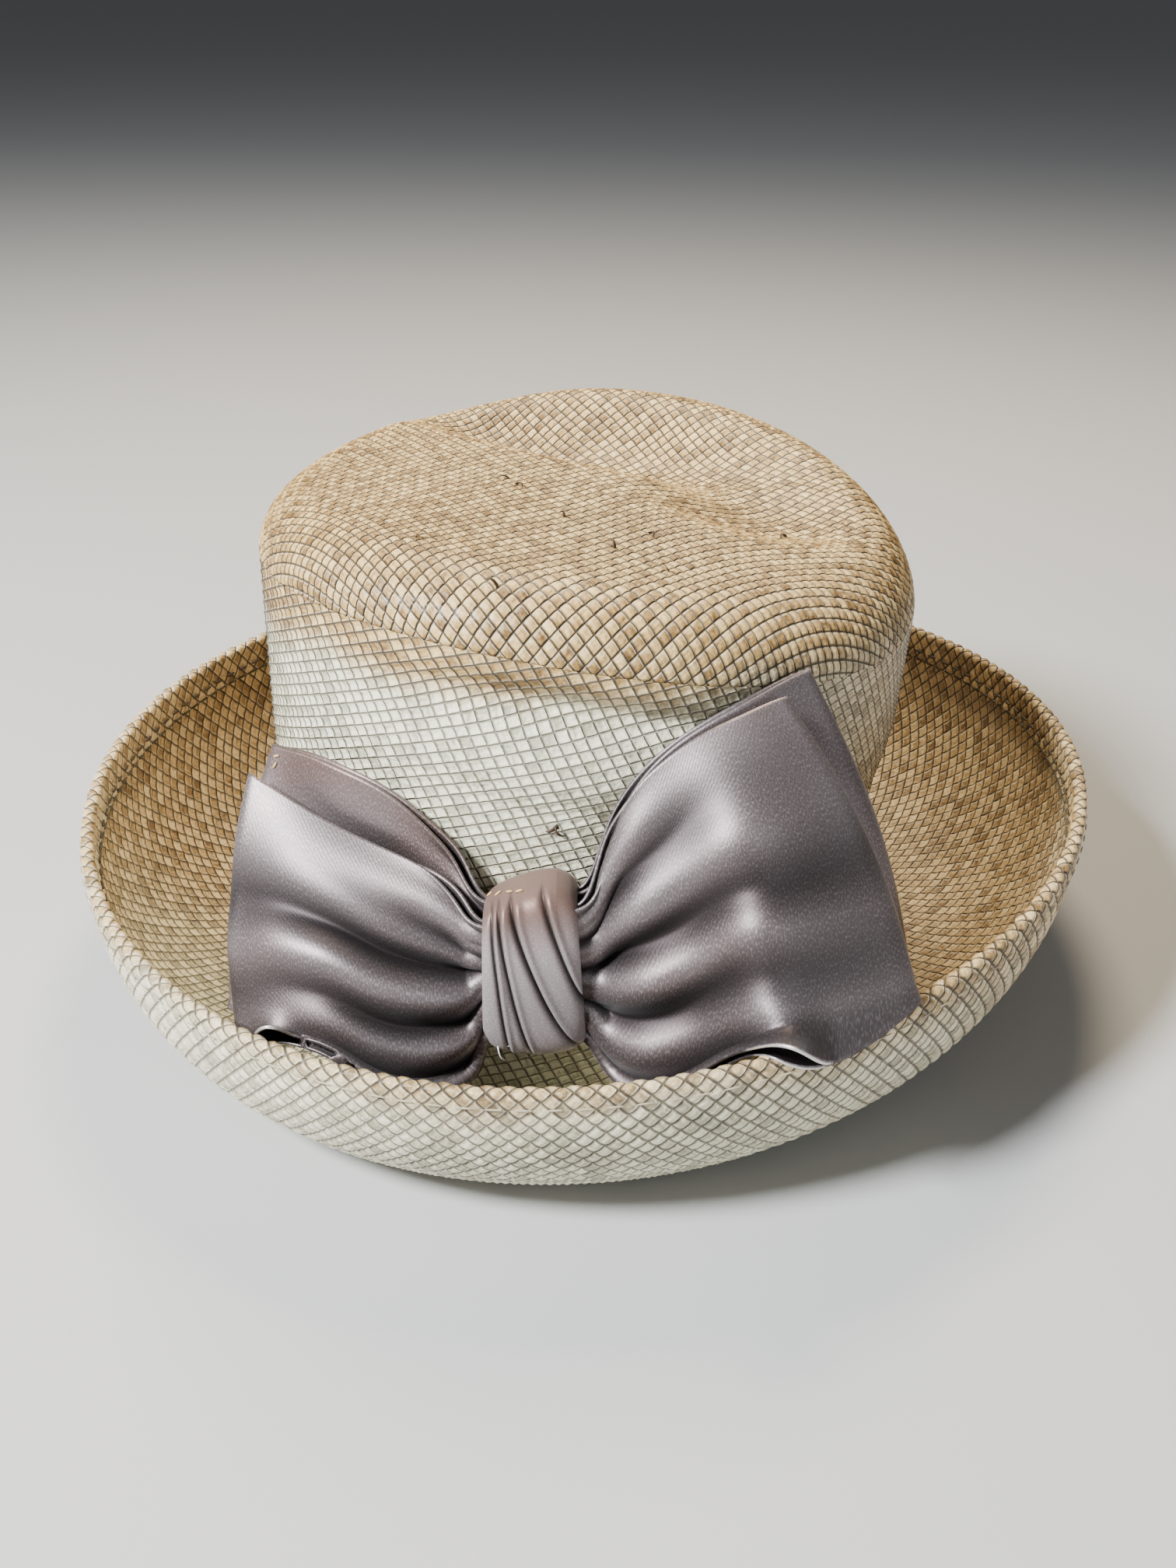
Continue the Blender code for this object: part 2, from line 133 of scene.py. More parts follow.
# a loop from knot to fold: way along, then out, up and fore of its upper edge, then of its lower
# edge, forward puff and lip hanging past the lower edge; the front loops' necks lie nearer the knot's
# face than in the solid model
RIGHT_FRONT = (
    (0.00, 0.056, 0.626, 0.310, 0.056, 0.352, 0.310, 0.00, 0.00),
    (0.10, 0.136, 0.626, 0.315, 0.136, 0.352, 0.325, 0.00, 0.00),
    (0.20, 0.165, 0.740, 0.200, 0.180, 0.275, 0.400, 0.04, 0.00),
    (0.35, 0.240, 0.852, 0.130, 0.300, 0.296, 0.580, 0.09, 0.00),
    (0.50, 0.325, 0.908, 0.070, 0.433, 0.360, 0.580, 0.11, 0.00),
    (0.57, 0.366, 0.928, 0.045, 0.500, 0.452, 0.690, 0.11, 0.00),
    (0.67, 0.424, 0.948, 0.010, 0.572, 0.497, 0.780, 0.11, 0.06),
    (0.80, 0.500, 0.970, -0.040, 0.689, 0.489, 0.690, 0.09, 0.16),
    (0.92, 0.563, 0.986, -0.100, 0.833, 0.489, 0.540, 0.05, 0.10),
    (1.00, 0.606, 0.994, -0.130, 0.944, 0.489, 0.400, 0.02, 0.02),
)
RIGHT_BACK = (
    (0.00, 0.056, 0.626, 0.170, 0.056, 0.352, 0.170, 0.00, 0.00),
    (0.10, 0.136, 0.626, 0.168, 0.136, 0.352, 0.168, 0.00, 0.00),
    (0.20, 0.170, 0.735, 0.090, 0.180, 0.295, 0.180, 0.00, 0.00),
    (0.35, 0.250, 0.852, 0.020, 0.300, 0.290, 0.200, 0.00, 0.00),
    (0.50, 0.350, 0.920, -0.045, 0.433, 0.300, 0.200, 0.00, 0.00),
    (0.65, 0.450, 0.962, -0.105, 0.578, 0.320, 0.180, 0.00, 0.00),
    (0.80, 0.545, 0.990, -0.185, 0.733, 0.345, 0.100, 0.00, 0.00),
    (0.92, 0.628, 1.007, -0.300, 0.889, 0.365, 0.000, 0.00, 0.00),
    (1.00, 0.676, 1.010, -0.360, 0.990, 0.375, -0.100, 0.00, 0.00),
)
LEFT_FRONT = (
    (0.00, 0.067, 0.585, 0.310, 0.067, 0.352, 0.310, 0.00, 0.00),
    (0.10, 0.187, 0.585, 0.315, 0.175, 0.345, 0.325, 0.00, 0.00),
    (0.20, 0.227, 0.622, 0.240, 0.180, 0.270, 0.400, 0.04, 0.00),
    (0.35, 0.330, 0.662, 0.110, 0.310, 0.270, 0.530, 0.09, 0.00),
    (0.50, 0.453, 0.676, 0.020, 0.480, 0.310, 0.570, 0.11, 0.00),
    (0.65, 0.587, 0.693, -0.070, 0.627, 0.385, 0.530, 0.11, 0.00),
    (0.80, 0.733, 0.724, -0.180, 0.760, 0.385, 0.450, 0.09, 0.00),
    (0.92, 0.840, 0.752, -0.280, 0.867, 0.340, 0.370, 0.05, 0.00),
    (1.00, 0.911, 0.770, -0.330, 0.927, 0.314, 0.300, 0.02, 0.00),
)
LEFT_BACK = (
    (0.00, 0.067, 0.590, 0.170, 0.067, 0.352, 0.170, 0.00, 0.00),
    (0.10, 0.187, 0.605, 0.168, 0.187, 0.352, 0.168, 0.00, 0.00),
    (0.20, 0.232, 0.668, 0.070, 0.220, 0.290, 0.150, 0.00, 0.00),
    (0.35, 0.330, 0.722, -0.025, 0.340, 0.270, 0.160, 0.00, 0.00),
    (0.50, 0.453, 0.778, -0.115, 0.480, 0.260, 0.140, -0.01, 0.00),
    (0.65, 0.587, 0.807, -0.200, 0.627, 0.260, 0.100, -0.02, 0.00),
    (0.80, 0.707, 0.812, -0.340, 0.773, 0.265, 0.000, -0.02, 0.00),
    (0.92, 0.800, 0.803, -0.450, 0.893, 0.275, -0.060, -0.01, 0.00),
    (1.00, 0.853, 0.798, -0.510, 1.000, 0.295, -0.080, 0.00, 0.00),
)
# gathers: where each runs across the ribbon at the knot and at the fold, depth by fore, half width
# at the knot and how far along it fades
RIGHT_GATHERS = (
    (0.05, 0.02, 0.060, 0.030, 0.32),
    (0.15, 0.12, 0.035, 0.025, 0.18),
    (0.25, 0.18, 0.090, 0.040, 0.60),
    (0.34, 0.35, 0.035, 0.025, 0.19),
    (0.44, 0.48, 0.150, 0.040, 0.95),
    (0.54, 0.62, 0.045, 0.025, 0.20),
    (0.64, 0.74, 0.140, 0.038, 0.85),
    (0.74, 0.88, 0.045, 0.025, 0.22),
    (0.85, 0.96, 0.130, 0.036, 0.80),
    (0.95, 1.12, 0.060, 0.028, 0.34),
)
LEFT_GATHERS = (
    (0.06, 0.03, 0.060, 0.030, 0.34),
    (0.16, 0.14, 0.040, 0.025, 0.20),
    (0.26, 0.20, 0.080, 0.034, 0.60),
    (0.38, 0.40, 0.160, 0.042, 1.20),
    (0.48, 0.60, 0.045, 0.025, 0.22),
    (0.58, 0.72, 0.140, 0.038, 0.90),
    (0.68, 0.88, 0.045, 0.025, 0.22),
    (0.78, 0.94, 0.130, 0.036, 0.80),
    (0.91, 1.12, 0.065, 0.028, 0.36),
)
# curls of the lower edge: way along, half way, lift in millimetres
RIGHT_CURLS = ((0.70, 0.075, 9.0),)
LEFT_CURLS = ((0.83, 0.060, 8.0),)
# folds over the knot: place across it at the top, lean and bend on the way down, depth in
# millimetres and half width
KNOT_FOLDS = (
    (-0.80, 0.08, 0.26, 1.2, 0.040),
    (-0.66, 0.15, 0.50, 1.4, 0.045),
    (-0.41, 0.55, 0.80, 2.3, 0.060),
    (0.25, 0.90, 0.40, 1.9, 0.060),
)

# weave: straws of each family in one turn, and the height of a woven row of crossings in millimetres
CROWN_STRAWS = (154, 70)
CROWN_CROSSING = 1.64
BRIM_STRAWS = (188, 188)
BRIM_CROSSING = 2.65
MEAN_HEIGHT = 0.45
# plain backs: faces round, the brim's flat rings, those that the crown hides, and the rim's rounding
PLAIN_SEGMENTS = 180
SEAT_RINGS = 16
HIDDEN_RINGS = 5
RIM_ROUND = 0.9
# the top's disc of weave: half width in crossings, squareness, turn in degrees and where its middle lies
TOP_RADIUS = 33.0
TOP_SQUARENESS = 2.8
TOP_LEAN = 58.5
TOP_CENTRE_SIDE = -0.10
TOP_CENTRE_BACK = 0.06
# how far ahead of the middle the straw takes its painted silvery sheen, in metres
PAINTED_SHEEN_AHEAD = (0.030, 0.095)
# camera solved from the photograph, and the studio, in metres, degrees, watts and millimetres of lens
CAMERA_PLACE = (0.1290, -0.4137, 0.2593)
CAMERA_TARGET = (0.0017, -0.0098, 0.0463)
CAMERA_ROLL = -0.8
CAMERA_LENS = 37.5
SENSOR_HEIGHT = 36.0
FLOOR_SIZE = 60.0
FLOOR_GREY = (0.50, 0.50, 0.50)
WORLD_COLOUR = (0.80, 0.82, 0.85)
WORLD_STRENGTH = 0.12
# lights: name, place, target, size, power and colour
LIGHTS = (
    ("key", (-0.60, -0.88, 1.00), (0.0, -0.04, 0.07), 0.32, 62.0, (0.96, 0.99, 1.0)),
    ("fill", (0.85, -0.75, 0.50), (0.0, -0.06, 0.06), 0.60, 2.5, (0.90, 0.97, 1.0)),
    ("top", (-0.15, 0.55, 1.05), (0.0, 0.02, 0.08), 0.40, 15.0, (1.0, 0.84, 0.60)),
)

# small details are placed where the photograph shows them, in its pixels across and down
PHOTO_WIDTH = 1512
PHOTO_HEIGHT = 2016
# loose straw ends on the crown: across, down, turn in degrees and length in millimetres
LOOSE_ENDS = (
    (640, 755, 25, 3.2),
    (725, 665, 80, 3.0),
    (790, 705, -20, 3.0),
    (835, 685, 140, 2.8),
    (860, 735, 60, 3.0),
    (535, 690, 200, 2.6),
    (1010, 690, 100, 3.4),
    (725, 1075, 15, 3.6),
    (718, 1062, 100, 3.0),
    (655, 615, 60, 3.4),
    (664, 622, 150, 3.0),
)
# a stitch's depth by its thickness, and a loose end's rise, bend, taper and half thickness
STITCH_DEPTH = 0.8
END_RISE = 1.7
END_BEND = 2.4
END_TAPER = 0.75
END_HALF_THICK = 0.14
# gold stitches on the bow: across, down and turn in degrees
GOLD_STITCHES = (
    (630, 1150, 20),
    (641, 1149, 60),
    (655, 1147, 10),
    (668, 1146, 30),
    (354, 984, 70),
    (356, 972, 20),
)
# white thread ends under the knot: across, down, turn in degrees and length in millimetres
THREAD_ENDS = (
    (640, 1345, 250, 4.0),
    (652, 1345, 300, 3.0),
)

# straw: tint low down and high up, heights in metres where it changes, share of painted silvery sheen in
# front; the tints are partly the straw's own colour and partly painted light: cool low down, warm on the
# crown's top, and brighter low inside the brim to lift its shade
STRAW_LOOKS = (
    ("straw_crown_woven", (1.0, 1.02, 1.04), (1.02, 0.91, 0.65), 0.117, 0.131, 0.78),
    ("straw_brim_woven", (1.0, 1.04, 1.08), (1.0, 0.97, 0.86), 0.046, 0.060, 0.55),
    ("straw_inside_woven", (1.08, 1.08, 0.98), (1.0, 0.99, 0.90), 0.000, 0.050, 0.75),
)
# satin: shares of brown, painted fold shade and painted paleness for the light the knot catches, heights
# in metres where rust begins, and metallic
SATIN_LOOKS = (
    ("satin_woven", 0.35, 0.92, 0.0, 0.20, 0.30, 0.85),
    ("satin_back_woven", 0.75, 0.92, 0.0, 0.075, 0.125, 0.85),
    ("satin_knot_woven", 0.40, 0.85, 0.60, 0.066, 0.078, 0.45),
)
THREAD_COLOURS = (
    ("hem_thread", (0.055, 0.040, 0.024)),
    ("raw_edge", (0.075, 0.072, 0.045)),
    ("straw_thread", (0.50, 0.44, 0.31)),
    # near black: loose straw ends coloured partly as themselves and partly as the painted shade they cast
    ("bare_straw", (0.060, 0.034, 0.016)),
    ("gold_thread", (0.72, 0.46, 0.20)),
    ("white_thread", (0.85, 0.84, 0.82)),
)


class HatSizes(bpy.types.PropertyGroup):
    """Sizes of the straw and the stitches"""

    relief: FloatProperty(
        name="Straw relief", description="Height of a straw over its creases",
        default=0.00070, unit="LENGTH")
    straw_cuts: IntProperty(
        name="Cuts", description="Faces across one straw on the near sides", default=3, min=2, max=4)
    stitch: FloatProperty(
        name="Stitch length", description="Length of one hem stitch", default=0.0042, unit="LENGTH")
    stitch_gap: FloatProperty(
        name="Stitch gap", description="Space between hem stitches", default=0.0022, unit="LENGTH")


class HatColours(bpy.types.PropertyGroup):
    """Colours of the straw and the satin, with the painted sheen, edge highlight and crease shade"""

    straw_light: FloatVectorProperty(
        name="Light straw", description="Palest straws", default=(0.84, 0.65, 0.38), subtype="COLOR")
    straw_mid: FloatVectorProperty(
        name="Straw", description="Most of the straws", default=(0.55, 0.38, 0.185), subtype="COLOR")
    # painted highlight: the colour given to each straw's raised edge
    straw_edge_highlight: FloatVectorProperty(
        name="Straw edge", description="Lit edge of a straw", default=(0.98, 0.88, 0.68), subtype="COLOR")
    # painted sheen: a pale silvery colour standing for the cool front light's sheen on the straws
    straw_painted_sheen: FloatVectorProperty(
        name="Silvery straw", description="Painted cool sheen on the front straws", default=(0.97, 0.99, 0.78),
        subtype="COLOR")
    straw_dark: FloatVectorProperty(
        name="Dark straw", description="Darkest straws", default=(0.20, 0.12, 0.048), subtype="COLOR")
    # painted shade: the colour of the creases between straws
    crease_shade: FloatVectorProperty(
        name="Crease", description="Dark lines between straws", default=(0.036, 0.022, 0.011),
        subtype="COLOR")
    satin: FloatVectorProperty(
        name="Satin", description="Ribbon", default=(0.215, 0.180, 0.186), subtype="COLOR")
    satin_rust: FloatVectorProperty(
        name="Rust satin", description="Brownest places of the ribbon", default=(0.165, 0.082, 0.054),
        subtype="COLOR")
    satin_brown: FloatVectorProperty(
        name="Brown satin", description="Browner places of the ribbon", default=(0.155, 0.100, 0.088),
        subtype="COLOR")


def blend_rows(rows, way):
    """Smooth values of every column of a table at the given ways along."""
    table = np.array(rows, dtype=float)
    x, y = table[:, 0], table[:, 1:]
    chord = np.diff(y, axis=0) / np.diff(x)[:, None]
    both = chord[:-1] * chord[1:]
    mean = 2 * both / np.where(both > 0, chord[:-1] + chord[1:], 1.0)
    slope = np.concatenate([chord[:1], np.where(both > 0, mean, 0.0), chord[-1:]])
    k = np.clip(np.searchsorted(x, way, side="right") - 1, 0, len(x) - 2)
    step = x[k + 1] - x[k]
    t = ((way - x[k]) / step)[:, None]
    step = step[:, None]
    h00 = 2 * t**3 - 3 * t**2 + 1
    h10 = t**3 - 2 * t**2 + t
    h01 = 3 * t**2 - 2 * t**3
    h11 = t**3 - t**2
    return h00 * y[k] + h10 * step * slope[k] + h01 * y[k + 1] + h11 * step * slope[k + 1]


def soft_hollow(distance):
    inside = np.clip(1 - distance**2, 0, 1)
    return inside**2


def wall_dent(bearing, rise):
    depth = 0.0
    for _, where, spread, height, half, share in WALL_DENTS:
        turn = (np.degrees(bearing) - where + 180) % 360 - 180
        depth = depth + share * CROWN_DOME * soft_hollow(np.hypot(turn / spread, (rise - height) / half))
    return depth


def top_dent(x, y):
    depth = 0.0
    for _, side, back, half_long, half_wide, turn, share in TOP_DENTS:
        c, s = math.cos(math.radians(turn)), math.sin(math.radians(turn))
        dx, dy = x / HEAD_HALF_WIDTH - side, y / HEAD_HALF_WIDTH - back
        along = (c * dx + s * dy) / half_long
        across = (c * dy - s * dx) / half_wide
        depth = depth + share * CROWN_DOME * soft_hollow(np.hypot(along, across) / 1.5)
    return depth


def shoulder_height(bearing, share=1.0):
    tilt = SHOULDER_TILT_SIDE * np.cos(bearing) + SHOULDER_TILT_BACK * np.sin(bearing)
    return SHOULDER_HEIGHT + tilt * share + SHOULDER_SADDLE * share**2 * np.cos(2 * bearing)


def rim_height(bearing):
    tilt = RIM_TILT_SIDE * np.cos(bearing) + RIM_TILT_BACK * np.sin(bearing)
    return RIM_HEIGHT + tilt + RIM_SADDLE * np.cos(2 * bearing)


def crown_wall_ring(bearing, rise):
    base = STRAW_WALL + SEAT_GAP
    dent = wall_dent(bearing, rise)
    wide = HEAD_HALF_WIDTH + (SHOULDER_HALF_WIDTH - HEAD_HALF_WIDTH) * rise
    long = HEAD_HALF_LENGTH + (SHOULDER_HALF_LENGTH - HEAD_HALF_LENGTH) * rise
    back = HEAD_SHIFT_BACK + (SHOULDER_SHIFT_BACK - HEAD_SHIFT_BACK) * rise
    x = SHOULDER_SHIFT_SIDE * rise + (wide - dent) * np.cos(bearing)
    y = back + (long - dent) * np.sin(bearing)
    z = base + (shoulder_height(bearing) - base) * rise
    return np.stack([x, y, z], 1)


def crown_top_ring(bearing, share):
    dent = wall_dent(bearing, 1.0) * share
    x = SHOULDER_SHIFT_SIDE + (SHOULDER_HALF_WIDTH * share - dent) * np.cos(bearing)
    y = SHOULDER_SHIFT_BACK + (SHOULDER_HALF_LENGTH * share - dent) * np.sin(bearing)
    fall = np.clip(1 - (1 - share) / SHOULDER_INSET, 0, 1)
    dome = CROWN_DOME * math.sqrt(1 - fall**2)
    inward = min(1.0, (1 - share) / SHOULDER_INSET)
    z = shoulder_height(bearing, share) + dome - top_dent(x, y) * inward**2 * (3 - 2 * inward)
    return np.stack([x, y, z], 1)


def brim_ring(bearing, swing):
    reach, climb = math.sin(math.radians(swing)), 1 - math.cos(math.radians(swing))
    wide, long = HEAD_HALF_WIDTH + SEAT_RING_WIDTH, HEAD_HALF_LENGTH + SEAT_RING_WIDTH
    x = (wide + (RIM_HALF_WIDTH - wide) * reach) * np.cos(bearing)
    back = HEAD_SHIFT_BACK + (RIM_SHIFT_BACK - HEAD_SHIFT_BACK) * reach
    y = back + (long + (RIM_HALF_LENGTH - long) * reach) * np.sin(bearing)
    return np.stack([x, y, rim_height(bearing) * climb], 1)


def seat_ring(bearing, out):
    x = (HEAD_HALF_WIDTH + out) * np.cos(bearing)
    y = HEAD_SHIFT_BACK + (HEAD_HALF_LENGTH + out) * np.sin(bearing)
    return np.stack([x, y, 0 * x], 1)


def ring_normals(rows):
    """Unit normals of stacked rings that close on themselves."""
    around = np.roll(rows, -1, 1) - np.roll(rows, 1, 1)
    n = np.cross(around, np.gradient(rows, axis=0))
    return n / np.maximum(np.linalg.norm(n, axis=2, keepdims=True), 1e-9)


class Skin:
    """A smooth surface held as dense rings, read by bearing and by the share of its length along."""

    def __init__(self, rings):
        self.rings = rings
        step = np.linalg.norm(np.diff(rings, axis=0), axis=2).mean(axis=1)
        self.length = step.sum()
        self.share = np.concatenate([[0], np.cumsum(step)]) / self.length

    def at(self, turn, share):
        """Points at turns 0 to 1 round and shares 0 to 1 along."""
        count = self.rings.shape[1]
        row = np.interp(share, self.share, np.arange(len(self.share)))
        r0 = np.clip(row.astype(int), 0, len(self.share) - 2)
        fr = (row - r0)[:, None]
        column = (turn % 1.0) * count
        c0 = column.astype(int) % count
        fc = (column - np.floor(column))[:, None]
        c1 = (c0 + 1) % count
        near = self.rings[r0, c0] * (1 - fc) + self.rings[r0, c1] * fc
        far = self.rings[r0 + 1, c0] * (1 - fc) + self.rings[r0 + 1, c1] * fc
        return near * (1 - fr) + far * fr


def dense_bearings():
    return np.arange(360) * (2 * math.pi / 360)


def crown_wall_skin():
    b = dense_bearings()
    return Skin(np.array([crown_wall_ring(b, 1 - k / 120) for k in range(121)]))


def crown_top_skin():
    b = dense_bearings()
    corner = [1 - SHOULDER_INSET * (1 - math.cos(math.radians(a))) for a in np.linspace(0, 90, 40)]
    flat = np.linspace(1 - SHOULDER_INSET, 0, 100)[1:]
    return Skin(np.array([crown_top_ring(b, s) for s in (*corner, *flat)]))


def brim_under_rings():
    """Rings of the brim's underside and their normals, which look up at the head line."""
    b = dense_bearings()
    rows = [seat_ring(b, o) for o in np.linspace(-STRAW_WALL, SEAT_RING_WIDTH, SEAT_RINGS)[:-1]]
    rows = np.array(rows + [brim_ring(b, a) for a in np.linspace(0, 90, 120)])
    normal = ring_normals(rows)
    return rows, normal if normal[0, 0, 2] > 0 else -normal


def brim_outer_skin():
    """From the head line under the brim, up its outside, over the rim and down the turned hem."""
    under, normal = brim_under_rings()
    thick = STRAW_WALL + HEM_EXTRA
    edge, inward = under[-1], normal[-1]
    up = np.array([0.0, 0.0, 1.0])
    rows = list(under)
    for a in np.linspace(0, 180, 14)[1:]:
        c, s = math.cos(math.radians(a)), math.sin(math.radians(a))
        rows.append(edge + inward * thick * (1 - c) / 2 + up * RIM_ROUND * s)
    step = np.linalg.norm(np.diff(under, axis=0), axis=2).mean(axis=1)
    down = 0.0
    for k in range(len(under) - 2, 0, -1):
        down += step[k]
        if down > HEM_WIDTH:
            break
        rows.append(under[k] + normal[k] * thick)
    return Skin(np.array(rows))


def brim_inner_skin():
    """From under the hem down the inside to the head line."""
    under, normal = brim_under_rings()
    normal[:SEAT_RINGS] = (0, 0, 1)
    rows = (under + normal * STRAW_WALL)[::-1]
    return Skin(rows[HIDDEN_RINGS:])


def straw_height(along, across):
    """Height of a straw over its place in one crossing, 0 to 1."""
    return (1 - 0.92 * (2 * along - 1)**2) * (1 - 0.22 * (2 * across - 1)**2)


def straw_over(i, j):
    """Whether the first family of straws lies on top at a crossing."""
    return np.mod(i + j, 2) == 0


def weave_heights(U, V, cuts):
    """Height 0 to 1 of the woven surface at the points of a cut lattice."""
    i, j = np.floor_divide(U, cuts), np.floor_divide(V, cuts)
    fu, fv = np.mod(U, cuts) / cuts, np.mod(V, cuts) / cuts
    first = straw_over(i, j)
    h = straw_height(np.where(first, fu, fv), np.where(first, fv, fu))
    h = np.where(fu == 0, 0.40 * straw_height(fv, 0.5), h)
    h = np.where(fv == 0, 0.40 * straw_height(fu, 0.5), h)
    return np.where((fu == 0) & (fv == 0), 0.0, h)


def scatter(a, b):
    """A steady number 0 to 1 from two others."""
    return np.mod(np.sin(a * 12.9898 + b * 78.233) * 43758.5453, 1.0)


def cell_maps(corners_u, corners_v, cuts):
    """Fibre and crossing coordinates at face corners, and a face's two tones."""
    i, j = np.floor_divide(corners_u[:, 0], cuts), np.floor_divide(corners_v[:, 0], cuts)
    first = straw_over(i, j)
    u, v = corners_u / cuts, corners_v / cuts
    f = first[:, None]
    along, across = np.where(f, u, v), np.where(f, v, u)
    start = np.where(first, i, j)[:, None]
    strand = np.where(first, j, i)[:, None]
    fibre = np.stack([along, across + np.where(f, 0.0, 500.0)], 2)
    cell = np.stack([along - start, across - strand], 2)
    tone, tone_straw = scatter(i, j), scatter(np.where(first, j, i + 911), 3.0)
    return fibre.reshape(-1, 2), cell.reshape(-1, 2), tone, tone_straw


def mesh_from(name, points, faces, material):
    mesh = bpy.data.meshes.new(name)
    mesh.from_pydata((np.asarray(points) * MM).tolist(), [], faces)
    mesh.update()
    mesh.polygons.foreach_set("use_smooth", [True] * len(mesh.polygons))
    mesh.materials.append(material)
    obj = bpy.data.objects.new(name, mesh)
    bpy.context.collection.objects.link(obj)
    return obj


def centred(points):
    """Points in the frame's own place, its middle at the middle of the brim."""
    return points - np.array([0.0, RIM_SHIFT_BACK, 0.0])


def write_maps(obj, fibre, cell, tone, tone_straw):
    """Put the weave's coordinates and tones on the first faces; later faces get none."""
    mesh = obj.data
    loops = np.zeros((len(mesh.loops), 2), dtype=np.float32)
    loops[:len(fibre)] = fibre
    mesh.uv_layers.new(name="fibre").data.foreach_set("uv", loops.ravel())
    loops = np.full((len(mesh.loops), 2), 0.5, dtype=np.float32)
    loops[:len(cell)] = cell
    mesh.uv_layers.new(name="cell").data.foreach_set("uv", loops.ravel())
    for label, values in (("tone", tone), ("straw", tone_straw)):
        full = np.full(len(mesh.polygons), 0.5, dtype=np.float32)
        full[:len(values)] = values
        mesh.attributes.new(label, "FLOAT", "FACE").data.foreach_set("value", full)


def shell_normals(points, faces):
    """Unit normals at the points of a mesh given as a list of index arrays."""
    total = np.zeros_like(points)
    for f in faces:
        a, b, c = points[f[:, 0]], points[f[:, 1]], points[f[:, 2]]
        n = np.cross(b - a, c - a)
        if f.shape[1] == 4:
            d = points[f[:, 3]]
            n = n + np.cross(c - a, d - a)
        for column in range(f.shape[1]):
            np.add.at(total, f[:, column], n)
    return total / np.maximum(np.linalg.norm(total, axis=1, keepdims=True), 1e-12)


def band_lattice(a, b, height, cuts):
    """A woven lattice wound round a band: lattice corners of its faces, and its points.

    One turn is a straws of the first family and b of the second; height is the band's, in units of
    straws times that count. Points past the band's two edges are brought back to them.
    """
    span = a * cuts
    U = np.arange(span)
    low = np.floor(b * U / a).astype(int) - 2
    deep = int(math.ceil(height * cuts / a)) + 5
    u = np.repeat(U, deep)
    v = (low[:, None] + np.arange(deep)[None]).ravel()
    corners_u = np.stack([u, u + 1, u + 1, u], 1)
    corners_v = np.stack([v, v, v + 1, v + 1], 1)
    down = (a * corners_v - b * corners_u) / (height * cuts)
    kept = ((down > 1e-6) & (down < 1 - 1e-6)).any(axis=1)
    corners_u, corners_v = corners_u[kept], corners_v[kept]
    lap = np.floor_divide(corners_u, span)
    key_u, key_v = corners_u - lap * span, corners_v - lap * b * cuts
    code = key_u * 100000 + (key_v + 50000)
    _, first, faces = np.unique(code, return_index=True, return_inverse=True)
    faces = faces.reshape(code.shape)
    pu, pv = key_u.ravel()[first], key_v.ravel()[first]
    turn = (a * pu + b * pv) / ((a * a + b * b) * cuts)
    share = (a * pv - b * pu) / (height * cuts)
    return corners_u, corners_v, faces, pu, pv, turn, share


def disc_lattice(radius, cuts, squareness, lean):
    """A woven square lattice cut to a disc: corners of its faces, and its points as a unit disc."""
    size = int(radius * 1.25) * cuts
    grid = np.arange(-size, size)
    u, v = [g.ravel() for g in np.meshgrid(grid, grid, indexing="ij")]
    corners_u = np.stack([u, u + 1, u + 1, u], 1)
    corners_v = np.stack([v, v, v + 1, v + 1], 1)

    def far(x, y):
        turned = math.radians(45)
        c, s = np.cos(turned), np.sin(turned)
        p, q = np.abs(c * x + s * y), np.abs(c * y - s * x)
        return (p**squareness + q**squareness)**(1 / squareness) / (radius * cuts)

    kept = (far(corners_u, corners_v) < 1 - 1e-6).any(axis=1)
    corners_u, corners_v = corners_u[kept], corners_v[kept]
    code = (corners_u + size) * 100000 + (corners_v + size)
    _, first, faces = np.unique(code, return_index=True, return_inverse=True)
    faces = faces.reshape(code.shape)
    pu, pv = corners_u.ravel()[first], corners_v.ravel()[first]
    angle = np.arctan2(pv, pu) + math.radians(lean)
    share = far(pu, pv)
    return corners_u, corners_v, faces, pu, pv, angle, share


def bridge(front, front_turn, back, back_turn):
    """Triangles between two closed borders, each listed with its turns 0 to 1."""
    f = [x for _, x in sorted(zip(front_turn, front))]
    ft = sorted(front_turn) + [min(front_turn) + 1]
    g = [x for _, x in sorted(zip(back_turn, back))]
    gt = sorted(back_turn) + [min(back_turn) + 1]
    i = j = 0
    faces = []
    while i < len(f) or j < len(g):
        here, there = f[i % len(f)], g[j % len(g)]
        if j >= len(g) or (i < len(f) and ft[i + 1] <= gt[j + 1]):
            faces.append((here, f[(i + 1) % len(f)], there))
            i += 1
        else:
            faces.append((here, g[(j + 1) % len(g)], there))
            j += 1
    return faces


def woven_points(base, faces, pu, pv, border, cuts, relief, outward):
    """Displace a lattice laid on a surface into over and under straws."""
    normal = shell_normals(base, [faces])
    if not outward:
        normal = -normal
    height = np.where(border, MEAN_HEIGHT, weave_heights(pu, pv, cuts))
    return base + normal * ((height - MEAN_HEIGHT) * relief / MM)[:, None]


def weave_body(name, woven, faces, maps, borders, plain, plain_faces, plain_borders, material):
    """One closed body: a woven face, a plain one behind and their borders joined."""
    n0 = len(woven)
    listed = [tuple(f) for f in faces.tolist()]
    listed += [tuple(n0 + k for k in f) for f in plain_faces]
    for (front, front_turn), (back, back_turn) in zip(borders, plain_borders):
        listed += bridge(list(front), list(front_turn), [n0 + k for k in back], list(back_turn))
    obj = mesh_from(name, centred(np.concatenate([woven, plain])), listed, material)
    write_maps(obj, *maps)
    bm = bmesh.new()
    bm.from_mesh(obj.data)
    bmesh.ops.recalc_face_normals(bm, faces=bm.faces)
    bm.to_mesh(obj.data)
    bm.free()
    face_out(obj)
    return obj


